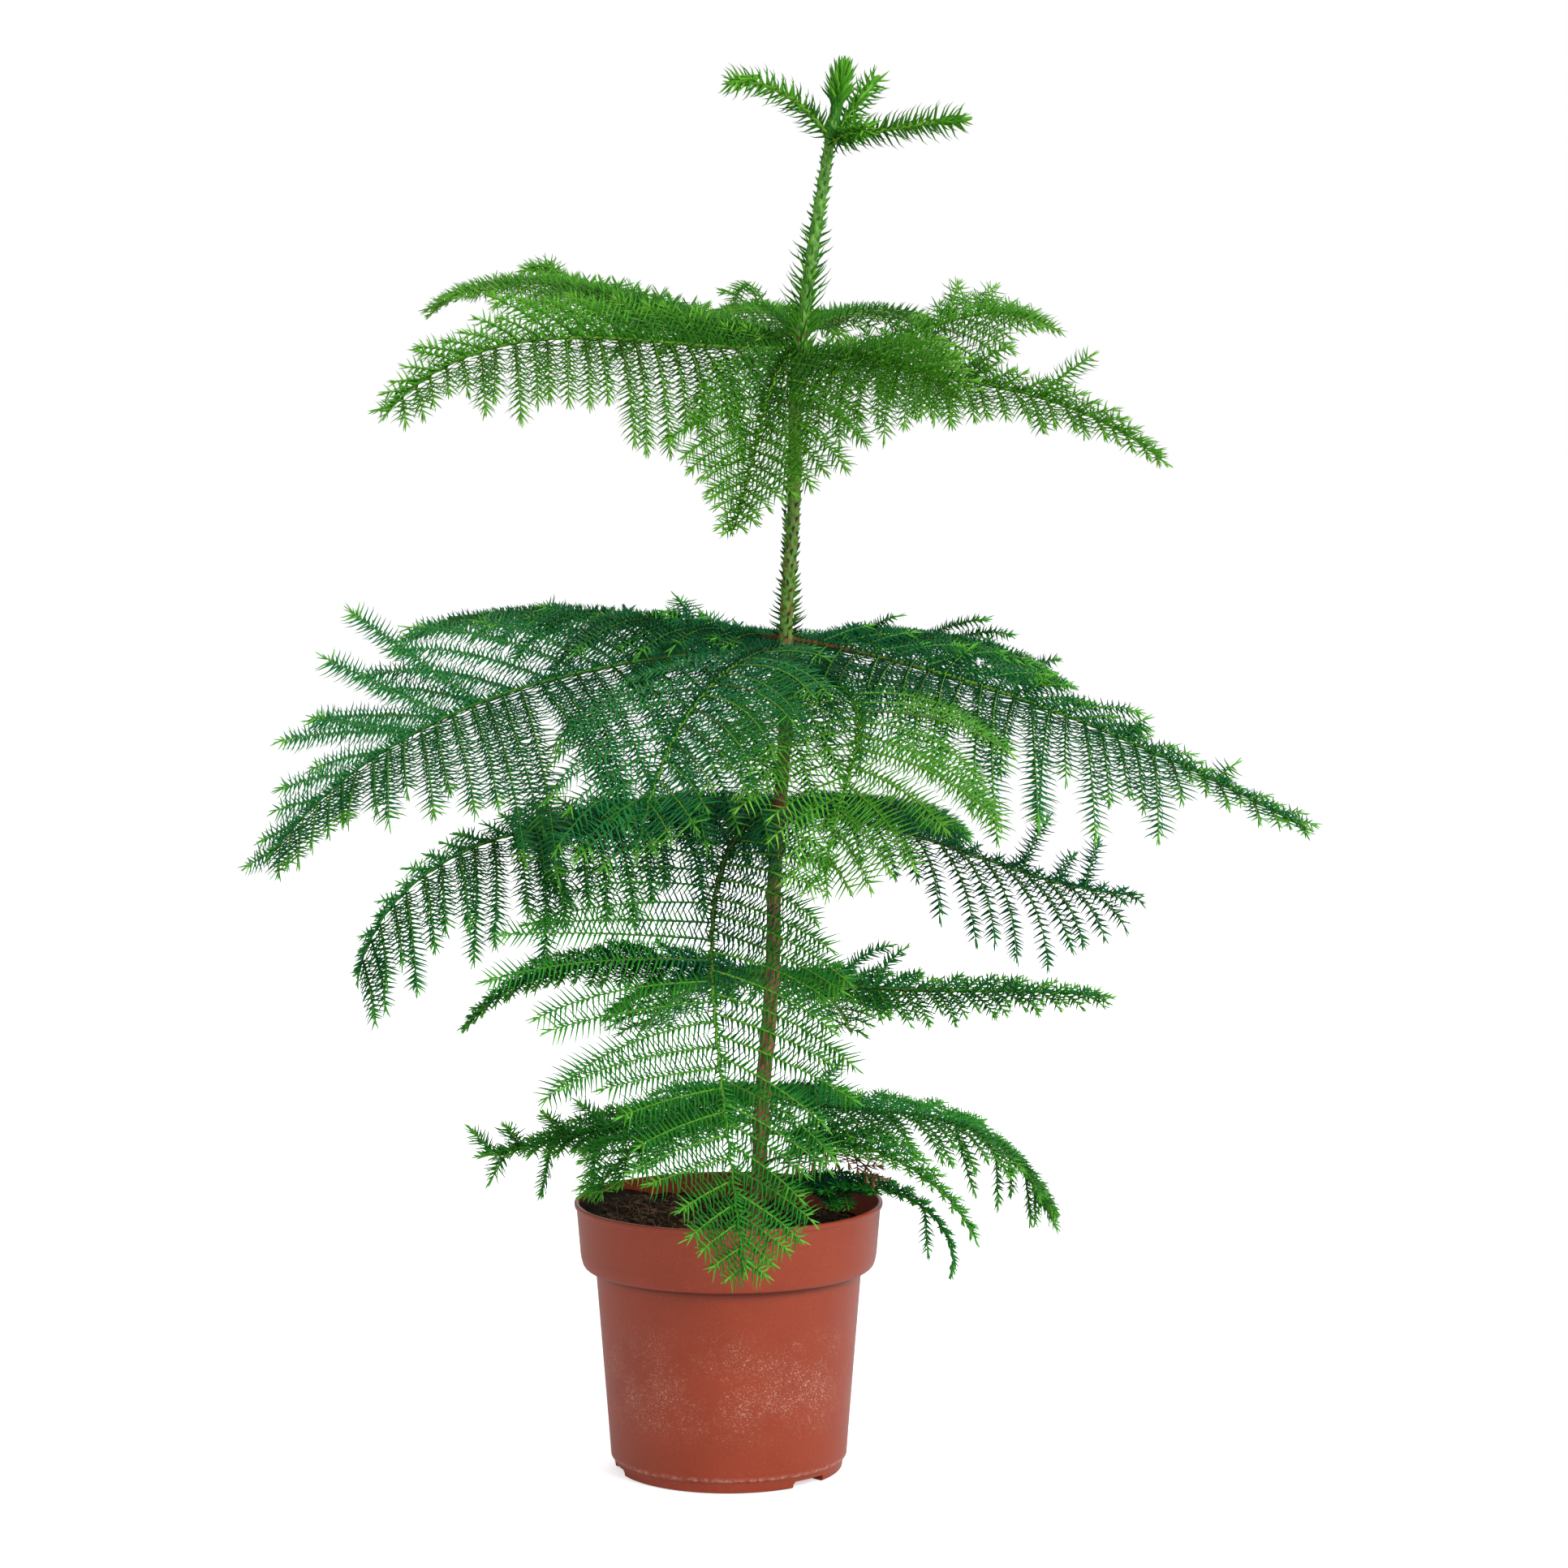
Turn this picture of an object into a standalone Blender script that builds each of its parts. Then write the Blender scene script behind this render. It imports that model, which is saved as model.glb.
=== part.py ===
"""Potted Norfolk Island pine: one leaning trunk with five whorls of drooping boughs, in a plastic nursery pot full of soil.

Metres, +Z up. The origin is the middle of the pot's flat underside; +X is the side that the trunk leans to,
and -Y is the side that the long weeping bough hangs down on.
"""

import math
import random

import bpy
import bmesh
import numpy as np
from mathutils import Vector
from mathutils.bvhtree import BVHTree

# ---------------------------------------------------------------- sizes
GAP = 0.0004            # left between pieces that meet
CLEAR = 0.0012          # left between foliage masses that pass each other

# pot: a 21 cm nursery pot
POT_HEIGHT = 0.1834
LIP_RADIUS = 0.1050
LIP_DEPTH = 0.0030
BAND_TOP_RADIUS = 0.1036
BAND_LOW_RADIUS = 0.1006
BAND_LOW = 0.1382
BODY_TOP_RADIUS = 0.0906
BODY_LOW_RADIUS = 0.0805
LEDGE_HEIGHT = 0.0087
FOOT_RADIUS = 0.0773
WALL = 0.0017
FLOOR_DISC_RADIUS = 0.052
CHANNEL_HEIGHT = 0.0052
NOTCH_WIDTH = 0.028
NOTCH_HEIGHT = 0.0046
NOTCH_HEADINGS = (-45.0, 75.0, 195.0)
POT_SIDES = 48

# soil
SOIL_LEVEL = 0.1640     # at the foot of the trunk
SOIL_RINGS = 7
SOIL_SIDES = 30

# trunk: height, sideways place, radius
TRUNK = (
    (0.1645, 0.0178, 0.0080), (0.1720, 0.0182, 0.0063), (0.2050, 0.0206, 0.0052), (0.2830, 0.0258, 0.0050),
    (0.3940, 0.0317, 0.0047), (0.5040, 0.0375, 0.0045), (0.6460, 0.0427, 0.0042), (0.7590, 0.0478, 0.0041),
    (0.8190, 0.0556, 0.0039), (0.8840, 0.0662, 0.0033), (0.9150, 0.0720, 0.0028), (0.9480, 0.0776, 0.0012),
)
TRUNK_SIDES = 10

# boughs. Headings: 0 is +X, 90 is +Y. Left and right are as seen looking outwards along the bough.
# height, heading, length, pitch at the foot, middle and tip, sweep, roll, laterals left and right, their hang
# left and right, their forward lean, own bough node
BOUGHS = {
    "a1": (0.769, 157, 0.322, 0, 12, -30, -20, -14, 0.070, 0.036, 1.0, 1.20, 0, True),
    "a2": (0.760, 137, 0.258, 6, 14, 18, 5, -5, 0.060, 0.045, 1.0, 0.60, 0, True),
    "a3": (0.761, 203, 0.300, -6, 0, -52, -8, -38, 0.106, 0.062, 2.0, 0.60, 0, True),
    "a4": (0.755, 255, 0.216, 8, -44, -28, 2, 0, 0.082, 0.066, 0.8, 0.80, 0, True),
    "a5": (0.752, 314, 0.160, 2, -8, -40, 0, 20, 0.060, 0.100, 0.8, 1.80, 0, False),
    "a6": (0.759, 355, 0.261, -14, -12, -40, -15, 30, 0.036, 0.050, 0.5, 1.20, 0, True),
    "a7": (0.766, 64, 0.190, 21, 4, -12, 0, 0, 0.072, 0.072, 2.0, 2.00, 0, False),
    "a8": (0.760, 30, 0.220, -12, 16, -28, 10, 25, 0.030, 0.060, 0.6, 1.20, 0, True),
    "a9": (0.766, 102, 0.215, 17, 6, -6, 0, 0, 0.062, 0.062, 1.9, 1.90, 0, False),
    "b1": (0.566, 153, 0.300, 4, 2, -22, 0, 2, 0.110, 0.048, 1.2, 0.90, 0, True),
    "b2": (0.560, 190, 0.389, -2, -19, -54, -12, -32, 0.166, 0.150, 1.0, 0.25, 0, True),
    "b3": (0.560, 240, 0.255, 0, -30, -70, 5, 0, 0.112, 0.110, 0.8, 0.80, 0, True),
    "b4": (0.555, 314, 0.272, -20, -24, -95, -90, 0, 0.110, 0.120, 0.6, 0.60, 0, True),
    "b5": (0.566, 341, 0.374, -8, -19, -28, 6, 20, 0.075, 0.136, 0.6, 1.50, 0, True),
    "b6": (0.560, 35, 0.260, 10, -9, -28, 8, 0, 0.075, 0.090, 1.0, 1.50, 0, True),
    "b7": (0.564, 106, 0.285, 2, -3, 2, 0, 0, 0.096, 0.096, 1.7, 1.70, 0, False),
    "c1": (0.452, 198, 0.335, -10, -9, -82, -6, -25, 0.105, 0.036, 1.8, 0.90, 0, True),
    "c2": (0.446, 0, 0.262, 4, -20, -2, 20, 22, 0.034, 0.082, 0.6, 2.20, 0, True),
    "c3": (0.450, 235, 0.378, 0, -59, -80, 82, 0, 0.112, 0.138, 0.3, 0.22, 0, True),
    "c4": (0.447, 132, 0.270, 5, -8, -25, 0, 0, 0.104, 0.104, 1.0, 1.00, 0, True),
    "c5": (0.447, 62, 0.240, 5, -8, -25, 0, 0, 0.100, 0.100, 1.0, 1.00, 0, True),
    "d1": (0.340, 187, 0.222, 4, -3, -55, -4, -15, 0.050, 0.040, 1.2, 0.60, 0, True),
    "d2": (0.340, 357, 0.234, -15, -1, -8, 8, 25, 0.032, 0.036, 0.6, 1.60, 0, True),
    "d3": (0.336, 70, 0.180, 0, -20, -40, 0, 0, 0.078, 0.078, 0.9, 0.90, 0, False),
    "d4": (0.336, 125, 0.180, 0, -20, -40, 0, 0, 0.078, 0.078, 0.9, 0.90, 0, False),
    "e1": (0.236, 190, 0.195, 12, -8, -10, 0, -10, 0.045, 0.035, 1.2, 0.60, 0, False),
    "e2": (0.262, 218, 0.160, 5, -24, -40, 0, 0, 0.070, 0.070, 0.6, 0.60, 0, False),
    "e3": (0.258, 14, 0.233, -23, -12, -79, 6, 10, 0.044, 0.052, 0.6, 1.40, 0, True),
    "e4": (0.230, 335, 0.182, 2, -17, -66, 0, 10, 0.040, 0.036, 0.6, 0.80, 0, False),
    "e5": (0.200, 342, 0.172, -12, -9, -106, 0, 0, 0.036, 0.036, 0.7, 0.70, 0, False),
    "e6": (0.250, 90, 0.170, 5, -15, -40, 0, 0, 0.072, 0.072, 0.9, 0.90, 0, False),
}
# young shoots of the top whorl: height, heading, length, pitch at the foot, middle and tip, sweep
SHOOTS = {
    "left": (0.898, 200, 0.086, 52, 28, -14, 0),
    "back": (0.898, 45, 0.064, 42, 45, 40, 0),
    "right": (0.897, 350, 0.095, 12, 8, 5, 0),
    "front": (0.895, 300, 0.050, 15, 10, 5, 0),
}
NEEDLE = 0.009          # needles stand this far past the laterals
FOLIAGE_START = 0.135   # share of a bough's length that is bare
BOUGH_FOOT_RADIUS = 0.0023
BOUGH_SIDES = 6
SECTOR = 0.62           # a lateral reaches at most this share of its distance from the trunk to the side
MASS_HALF_DEPTH = 0.0085
RIB_ROOM = 0.0045       # kept free round the line of each bough that has no foliage yet
SHOOT_HALF_DEPTH = 0.0095
STEPS = 36

UP = np.array((0.0, 0.0, 1.0))


# ---------------------------------------------------------------- plant lines
def unit(vector):
    return vector / np.linalg.norm(vector)


def trunk_at(height):
    rows = np.array(TRUNK)
    return np.interp(height, rows[:, 0], rows[:, 1]), np.interp(height, rows[:, 0], rows[:, 2])


def bough_line(row):
    """Points along a bough and the directions between them: its pitch runs through three named angles."""
    height, heading, length, foot, middle, tip, sweep = row[:7]
    share = (np.arange(STEPS) + 0.5) / STEPS
    curve = 2 * (foot + tip - 2 * middle)
    slope = 4 * middle - 3 * foot - tip
    pitch = np.radians(foot + slope * share + curve * share**2)
    turn = np.radians(heading + sweep * share)
    ways = np.stack([np.cos(pitch) * np.cos(turn), np.cos(pitch) * np.sin(turn), np.sin(pitch)], 1)
    rights = np.stack([np.sin(turn), -np.cos(turn), np.zeros(STEPS)], 1)
    points = np.vstack([np.zeros(3), np.cumsum(ways * length / STEPS, 0)])
    return points + np.array([trunk_at(height)[0], 0.0, height]), ways, rights


def place(line, share):
    """Point, direction and level right-hand direction at a share of a bough's length."""
    points, ways, rights = line
    share = min(max(share, 0.0), 1.0)
    step = min(STEPS - 1, int(share * STEPS))
    part = share * STEPS - step
    return points[step] * (1 - part) + points[step + 1] * part, ways[step], rights[step]


def side_frame(way, right, roll):
    """Right and upper directions of the flat spray that a bough carries, rolled about the bough."""
    upper = np.cross(right, way)
    cos, sin = math.cos(math.radians(roll)), math.sin(math.radians(roll))
    return right * cos - upper * sin, upper * cos + right * sin


def spread(share):
    """How long the laterals are along a bough, as a share of the longest."""
    if share < 0.36:
        return 0.35 + 0.65 * math.sin(0.5 * math.pi * max(0.0, (share - 0.1) / 0.26))
    return 1 - 0.86 * ((share - 0.36) / 0.64) ** 1.15


def lateral(start, way, right, upper, side, share, length, hang, lean):
    """Middle and tip of a lateral, with its directions there: it leaves the bough sideways and sags."""
    angle = math.radians(88 - 46 * share - (lean * (1 - 0.3 * share) * 1.6 if side > 0 else 0))
    d = unit(math.cos(angle) * way + math.sin(angle) * side * right + 0.12 * upper)
    points, count = [start], 8
    for j in range(count):
        points.append(points[-1] + d * length / count)
        d = unit(d + (-UP * hang * 1.1 + way * 0.25) * (length / count) / 0.085 * (0.4 + (j + 1) / count))
    return (points[4], unit(points[5] - points[3])), (points[8], unit(points[8] - points[7]))


# ---------------------------------------------------------------- meshes
def new_object(name, points, faces, material):
    mesh = bpy.data.meshes.new(name)
    bm = bmesh.new()
    verts = [bm.verts.new(tuple(float(c) for c in p)) for p in points]
    for face in faces:
        bm.faces.new([verts[i] for i in face])
    bmesh.ops.recalc_face_normals(bm, faces=bm.faces[:])
    bmesh.ops.triangulate(bm, faces=bm.faces[:])
    bm.to_mesh(mesh)
    bm.free()
    mesh.shade_smooth()
    mesh.set_sharp_from_angle(angle=math.radians(50))
    mesh.materials.append(material)
    obj = bpy.data.objects.new(name, mesh)
    bpy.context.collection.objects.link(obj)
    return obj


def make_material(name, colour, roughness):
    material = bpy.data.materials.new(name)
    material.use_nodes = True
    shader = material.node_tree.nodes["Principled BSDF"]
    shader.inputs["Base Color"].default_value = (*colour, 1.0)
    shader.inputs["Roughness"].default_value = roughness
    shader.inputs["Metallic"].default_value = 0.0
    return material


def tree_of(obj):
    mesh = obj.data
    return BVHTree.FromPolygons([v.co[:] for v in mesh.vertices], [p.vertices[:] for p in mesh.polygons])


def turned(name, profile, sides, material):
    """A piece turned round Z from a closed outline of (radius, height) that starts and ends on the axis."""
    points, rings = [], []
    for radius, height in profile:
        if radius < 1e-9:
            rings.append([len(points)])
            points.append((0.0, 0.0, height))
            continue
        rings.append(list(range(len(points), len(points) + sides)))
        for k in range(sides):
            a = 2 * math.pi * k / sides
            points.append((radius * math.cos(a), radius * math.sin(a), height))
    faces = []
    for low, high in zip(rings, rings[1:]):
        for k in range(sides):
            n = (k + 1) % sides
            if len(low) == 1:
                faces.append((low[0], high[k], high[n]))
            elif len(high) == 1:
                faces.append((low[k], low[n], high[0]))
            else:
                faces.append((low[k], low[n], high[n], high[k]))
    return new_object(name, points, faces, material)


def tube(name, line, radii, sides, material):
    """A tapering limb along a line, with flat ends square to it, or level where the line starts level."""
    rings, points = [], []
    ways = [unit(line[min(i + 1, len(line) - 1)] - line[max(i - 1, 0)]) for i in range(len(line))]
    for p, way, radius in zip(line, ways, radii):
        side = unit(np.cross(way, np.array((0.0, 1.0, 0.0)) if abs(way[2]) > 0.8 else UP))
        other = np.cross(way, side)
        rings.append(list(range(len(points), len(points) + sides)))
        for k in range(sides):
            a = 2 * math.pi * k / sides
            points.append(p + radius * (math.cos(a) * side + math.sin(a) * other))
    faces = [tuple(reversed(rings[0])), tuple(rings[-1])]
    for low, high in zip(rings, rings[1:]):
        for k in range(sides):
            n = (k + 1) % sides
            faces.append((low[k], low[n], high[n], high[k]))
    return new_object(name, points, faces, material)


# ---------------------------------------------------------------- pot and soil
def wall_radius(height):
    """Inner radius of the pot at a height."""
    if height > BAND_LOW + 0.004:
        share = (height - BAND_LOW) / (POT_HEIGHT - BAND_LOW)
        return BAND_LOW_RADIUS + (BAND_TOP_RADIUS - BAND_LOW_RADIUS) * share - WALL
    share = (height - LEDGE_HEIGHT) / (BAND_LOW - LEDGE_HEIGHT)
    return BODY_LOW_RADIUS + (BODY_TOP_RADIUS - BODY_LOW_RADIUS) * max(0.0, share) - WALL


def make_pot(material):
    disc, ring = FLOOR_DISC_RADIUS, FOOT_RADIUS - 0.0095
    floor = 0.003
    profile = [
        (0, 0), (disc, 0), (disc + 0.002, CHANNEL_HEIGHT), (ring - 0.002, CHANNEL_HEIGHT), (ring, 0),
        (FOOT_RADIUS - 0.0010, 0), (FOOT_RADIUS, 0.0010), (FOOT_RADIUS + 0.0012, LEDGE_HEIGHT - 0.0010),
        (BODY_LOW_RADIUS, LEDGE_HEIGHT), (BODY_TOP_RADIUS, BAND_LOW + 0.0006),
        (BAND_LOW_RADIUS - 0.0028, BAND_LOW), (BAND_LOW_RADIUS - 0.0007, BAND_LOW + 0.0010),
        (BAND_LOW_RADIUS, BAND_LOW + 0.0034), (BAND_TOP_RADIUS, POT_HEIGHT - LIP_DEPTH - 0.0006),
        (LIP_RADIUS, POT_HEIGHT - LIP_DEPTH), (LIP_RADIUS, POT_HEIGHT - 0.0007),
        (LIP_RADIUS - 0.0008, POT_HEIGHT), (BAND_TOP_RADIUS - WALL, POT_HEIGHT),
        (wall_radius(BAND_LOW + 0.0045), BAND_LOW + 0.0040), (wall_radius(BAND_LOW), BAND_LOW + 0.0018),
        (wall_radius(0.0125), 0.0125), (FOOT_RADIUS - 0.004, CHANNEL_HEIGHT + floor),
        (disc + 0.001, CHANNEL_HEIGHT + floor), (disc - 0.002, floor), (0, floor),
    ]
    pot = turned("pot", profile, POT_SIDES, material)
    for n, heading in enumerate(NOTCH_HEADINGS):
        bm = bmesh.new()
        bmesh.ops.create_cube(bm, size=1.0)
        bmesh.ops.scale(bm, vec=Vector((0.030, NOTCH_WIDTH, NOTCH_HEIGHT * 2)), verts=bm.verts[:])
        mesh = bpy.data.meshes.new(f"notch_cutter_{n + 1}")
        bm.to_mesh(mesh)
        bm.free()
        cutter = bpy.data.objects.new(mesh.name, mesh)
        bpy.context.collection.objects.link(cutter)
        a = math.radians(heading)
        cutter.location = (0.0775 * math.cos(a), 0.0775 * math.sin(a), 0.0)
        cutter.rotation_euler = (0.0, 0.0, a)
        cutter.hide_render = True
        cutter.display_type = "WIRE"
        cut = pot.modifiers.new(f"notch_{n + 1}", "BOOLEAN")
        cut.operation = "DIFFERENCE"
        cut.solver = "EXACT"
        cut.object = cutter
    return pot


def soil_top(x, y):
    """Height of the soil: nearly level, heaped against the wall on the left and behind, lower on the right."""
    r = math.hypot(x, y) / 0.1
    heading = math.degrees(math.atan2(y, x)) % 360
    heap = math.exp(-(((heading - 150) / 42) ** 2)) * 0.0165 * r**3
    heap += math.exp(-(((heading - 205) / 40) ** 2)) * 0.009 * r**3
    uneven = 0.0016 * math.sin(61 * x + 1.3) * math.cos(73 * y + 0.4) + 0.0011 * math.sin(173 * x - 121 * y)
    near = math.hypot(x - TRUNK[0][1], y)
    blend = min(1.0, max(0.0, (near - 0.012) / 0.03))
    return SOIL_LEVEL + (heap + uneven - 0.001) * blend


def make_soil(material):
    disc = FLOOR_DISC_RADIUS
    lower = [
        (0, 0.003 + GAP), (disc - 0.0024, 0.003 + GAP), (disc + 0.0006, CHANNEL_HEIGHT + 0.003 + GAP),
        (FOOT_RADIUS - 0.0044, CHANNEL_HEIGHT + 0.003 + GAP), (wall_radius(0.0130) - GAP, 0.0130 + GAP),
        (wall_radius(BAND_LOW) - GAP, BAND_LOW + 0.0018), (wall_radius(BAND_LOW + 0.0045) - 0.0006, BAND_LOW + 0.0046),
    ]
    points, rings = [(0.0, 0.0, lower[0][1])], [[0]]
    for radius, height in lower[1:]:
        rings.append(list(range(len(points), len(points) + SOIL_SIDES)))
        for k in range(SOIL_SIDES):
            a = 2 * math.pi * k / SOIL_SIDES
            points.append((radius * math.cos(a), radius * math.sin(a), height))
    for ring in range(SOIL_RINGS):
        share = 1 - ring / SOIL_RINGS
        rings.append(list(range(len(points), len(points) + SOIL_SIDES)))
        for k in range(SOIL_SIDES):
            a = 2 * math.pi * k / SOIL_SIDES
            edge = wall_radius(SOIL_LEVEL - 0.004) - 0.0006
            # the rings close in on the trunk's foot
            x = edge * share * math.cos(a) + TRUNK[0][1] * (1 - share)
            y = edge * share * math.sin(a)
            points.append((x, y, soil_top(x, y)))
    rings.append([len(points)])
    points.append((TRUNK[0][1], 0.0, SOIL_LEVEL))
    faces = []
    for low, high in zip(rings, rings[1:]):
        for k in range(SOIL_SIDES):
            n = (k + 1) % SOIL_SIDES
            if len(low) == 1:
                faces.append((low[0], high[k], high[n]))
            elif len(high) == 1:
                faces.append((low[k], low[n], high[0]))
            else:
                faces.append((low[k], low[n], high[n], high[k]))
    return new_object("soil", points, faces, material)


# ---------------------------------------------------------------- limbs
def make_trunk(material):
    rows = np.array(TRUNK)
    heights = np.concatenate([rows[:2, 0], np.linspace(0.185, 0.90, 15), [0.925, rows[-1, 0]]])
    heights[0] = SOIL_LEVEL + GAP
    line = [np.array([trunk_at(z)[0], 0.0, z]) for z in heights]
    obj = tube("trunk", line, [trunk_at(z)[1] for z in heights], TRUNK_SIDES, material)
    for vert in obj.data.vertices:      # the foot is cut level where it stands on the soil
        if vert.co.z < SOIL_LEVEL + 0.0025:
            vert.co.z = SOIL_LEVEL + GAP
    return obj


def make_bough(name, row, material):
    line = bough_line(row)
    clear = trunk_at(row[0])[1] + 0.0012
    first = (clear + abs(math.sin(math.radians(row[3]))) * BOUGH_FOOT_RADIUS) / row[2]
    shares = np.linspace(first, FOLIAGE_START, 4)
    path = [place(line, s)[0] for s in shares]
    radii = [BOUGH_FOOT_RADIUS * (1 - 0.75 * s) for s in shares]
    return tube(name, path, radii, BOUGH_SIDES, material)


# ---------------------------------------------------------------- foliage
def mass_shape(row, first, last, stations, seed, scale, grow, shoot=False):
    """Points and faces of one closed mass: rings of ten points, from lateral tip to lateral tip, along the bough."""
    rng = random.Random(seed)
    line = bough_line(row)
    if shoot:
        roll, left, right, hang_l, hang_r, lean = 0, 0.0095, 0.0095, 0.0, 0.0, 0
    else:
        roll, left, right, hang_l, hang_r, lean = row[7:13]
    verts, faces = [], []
    for k in range(stations):
        share = first + (last - first) * k / (stations - 1)
        centre, way, level = place(line, share)
        if k == 0:
            centre = centre - way * grow
        if k == stations - 1:
            centre = centre + way * grow
        across, upper = side_frame(way, level, roll)
        if shoot:
            depth = SHOOT_HALF_DEPTH * min(1.0, 0.3 + 4 * (share - first)) * (1 - 0.55 * share**5)
        else:
            depth = MASS_HALF_DEPTH * (1 - 0.35 * share) * min(1.0, 0.45 + 4 * (share - first))
        if k == stations - 1 and last > 0.95:
            depth *= 0.45
        depth = depth * max(0.3, min(1.0, 0.1 + scale[-1][k], 0.1 + scale[1][k]) ** 0.5) + grow
        ring = [centre + upper * depth, centre - upper * depth]
        sides = []
        for side, longest, hang in ((-1, left, hang_l), (1, right, hang_r)):
            if shoot:
                length = longest * min(1.0, 0.3 + 4 * (share - first)) * (1 - 0.55 * share**5)
            else:
                length = longest * spread(share) * rng.uniform(0.86, 1.06) + NEEDLE * 0.8
            if not shoot:
                length = min(length, 0.008 + SECTOR * share * row[2])
            length *= scale[side][k]
            if k == stations - 1 and last > 0.95:
                length = min(length, 0.006)
            length += grow
            (mid, d_mid), (tip, d_tip) = lateral(centre, way, across, upper, side, share, length, hang, lean)
            thin = min(depth, 0.5 * length)
            out = []
            for p, d, t in ((mid, d_mid, thin * 0.9), (tip, d_tip, thin * 0.34)):
                normal = unit(np.cross(d, way) * side)
                out.append((p + normal * t, p - normal * t))
            sides.append(out)
        (lm, lt), (rm, rt) = sides
        base = len(verts)
        verts += [lt[0], lm[0], ring[0], rm[0], rt[0], rt[1], rm[1], ring[1], lm[1], lt[1]]
        if k:
            for j in range(10):
                n = (j + 1) % 10
                faces.append((base - 10 + j, base - 10 + n, base + n, base + j))
    for base in (0, (stations - 1) * 10):
        for j in range(4):
            faces.append((base + j, base + j + 1, base + 8 - j, base + 9 - j))
    return verts, faces


def crossings(verts, faces, solids):
    """Faces that meet another solid, and faces that meet a far one of the same mass."""
    tree = BVHTree.FromPolygons([tuple(v) for v in verts], faces)
    bad = set()
    for solid in solids:
        bad |= {a for a, _ in tree.overlap(solid)}
    for a, b in tree.overlap(tree):
        if a != b and not set(faces[a]) & set(faces[b]):
            bad |= {a, b}
    return bad


def rib_tree(row):
    """The room that a bough's own line needs, for others to keep clear of."""
    line = bough_line(row)
    verts, faces = [], []
    for i, share in enumerate(np.linspace(0.2, 1.0, 9)):
        p, way, level = place(line, share)
        across, upper = side_frame(way, level, 0)
        for a, b in ((1, 0), (0, 1), (-1, 0), (0, -1)):
            verts.append(p + (across * a + upper * b) * RIB_ROOM)
        if i:
            faces += [(4 * i - 4 + j, 4 * i - 4 + (j + 1) % 4, 4 * i + (j + 1) % 4, 4 * i + j) for j in range(4)]
    return BVHTree.FromPolygons([tuple(v) for v in verts], faces)


def make_mass(name, row, first, last, stations, solids, material, shoot=False):
    """Builds a mass and draws its sides in wherever it would run into what is already there."""
    scale = {-1: [1.0] * stations, 1: [1.0] * stations}
    start = first
    for _ in range(160):
        verts, faces = mass_shape(row, first, last, stations, name, scale, CLEAR, shoot)
        bad = crossings(verts, faces, solids)
        if not bad:
            break
        hits = set()
        for face in bad:
            near = {v // 10 for v in faces[face]}
            columns = {v % 10 for v in faces[face]}
            for side, mine in ((-1, {0, 1, 8, 9}), (1, {3, 4, 5, 6})):
                if columns & mine or columns <= {2, 7}:
                    hits |= {(side, k) for k in near}
        low = True
        for side, k in hits:
            if scale[side][k] > 0.09:
                scale[side][k] *= 0.9
                low = False
        if low:
            first += 0.01
            if first > start + 0.3:
                raise RuntimeError(f"{name} has no room")
    else:
        raise RuntimeError(f"{name} still runs into its neighbours")
    verts, faces = mass_shape(row, first, last, stations, name, scale, 0.0, shoot)
    return new_object(name, verts, faces, material)


def make_leader(material):
    """Tuft of young needles round the trunk's tip, with the tip standing in it from below."""
    low, high = 0.912, 0.9600
    outer = ((0.0, 0.0052), (0.12, 0.0085), (0.35, 0.0102), (0.62, 0.0090), (0.85, 0.0058), (0.97, 0.0026))
    sides = 10
    lean = (TRUNK[-1][1] - TRUNK[-2][1]) / (TRUNK[-1][0] - TRUNK[-2][0])

    def axis(z):
        return trunk_at(z)[0] if z < TRUNK[-1][0] else TRUNK[-1][1] + (z - TRUNK[-1][0]) * lean

    rings = [(low + (high - low) * s, r) for s, r in outer]
    bore = [(TRUNK[-1][0] + 2 * GAP, 0.0020), (0.930, trunk_at(0.930)[1] + 3 * GAP), (low, trunk_at(low)[1] + 3 * GAP)]
    points, faces, loops = [], [], []
    for z, r in rings:
        loops.append(list(range(len(points), len(points) + sides)))
        for k in range(sides):
            a = 2 * math.pi * k / sides
            wave = 1 + 0.09 * math.sin(3 * a + 140 * z)
            points.append((axis(z) + r * wave * math.cos(a), r * wave * math.sin(a), z))
    top = len(points)
    points.append((axis(high), 0.0, high))
    roof = len(points)
    points.append((axis(bore[0][0] + 0.001), 0.0, bore[0][0] + 0.001))
    inner = []
    for z, r in bore:
        inner.append(list(range(len(points), len(points) + sides)))
        for k in range(sides):
            a = 2 * math.pi * k / sides
            points.append((axis(z) + r * math.cos(a), r * math.sin(a), z))
    for k in range(sides):
        n = (k + 1) % sides
        for a, b in zip(loops, loops[1:]):
            faces.append((a[k], a[n], b[n], b[k]))
        faces.append((loops[-1][k], loops[-1][n], top))
        faces.append((inner[0][n], inner[0][k], roof))
        for a, b in zip(inner, inner[1:]):
            faces.append((a[n], a[k], b[k], b[n]))
        faces.append((loops[0][n], loops[0][k], inner[-1][k], inner[-1][n]))
    return new_object("foliage_leader", points, faces, material)


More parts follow.
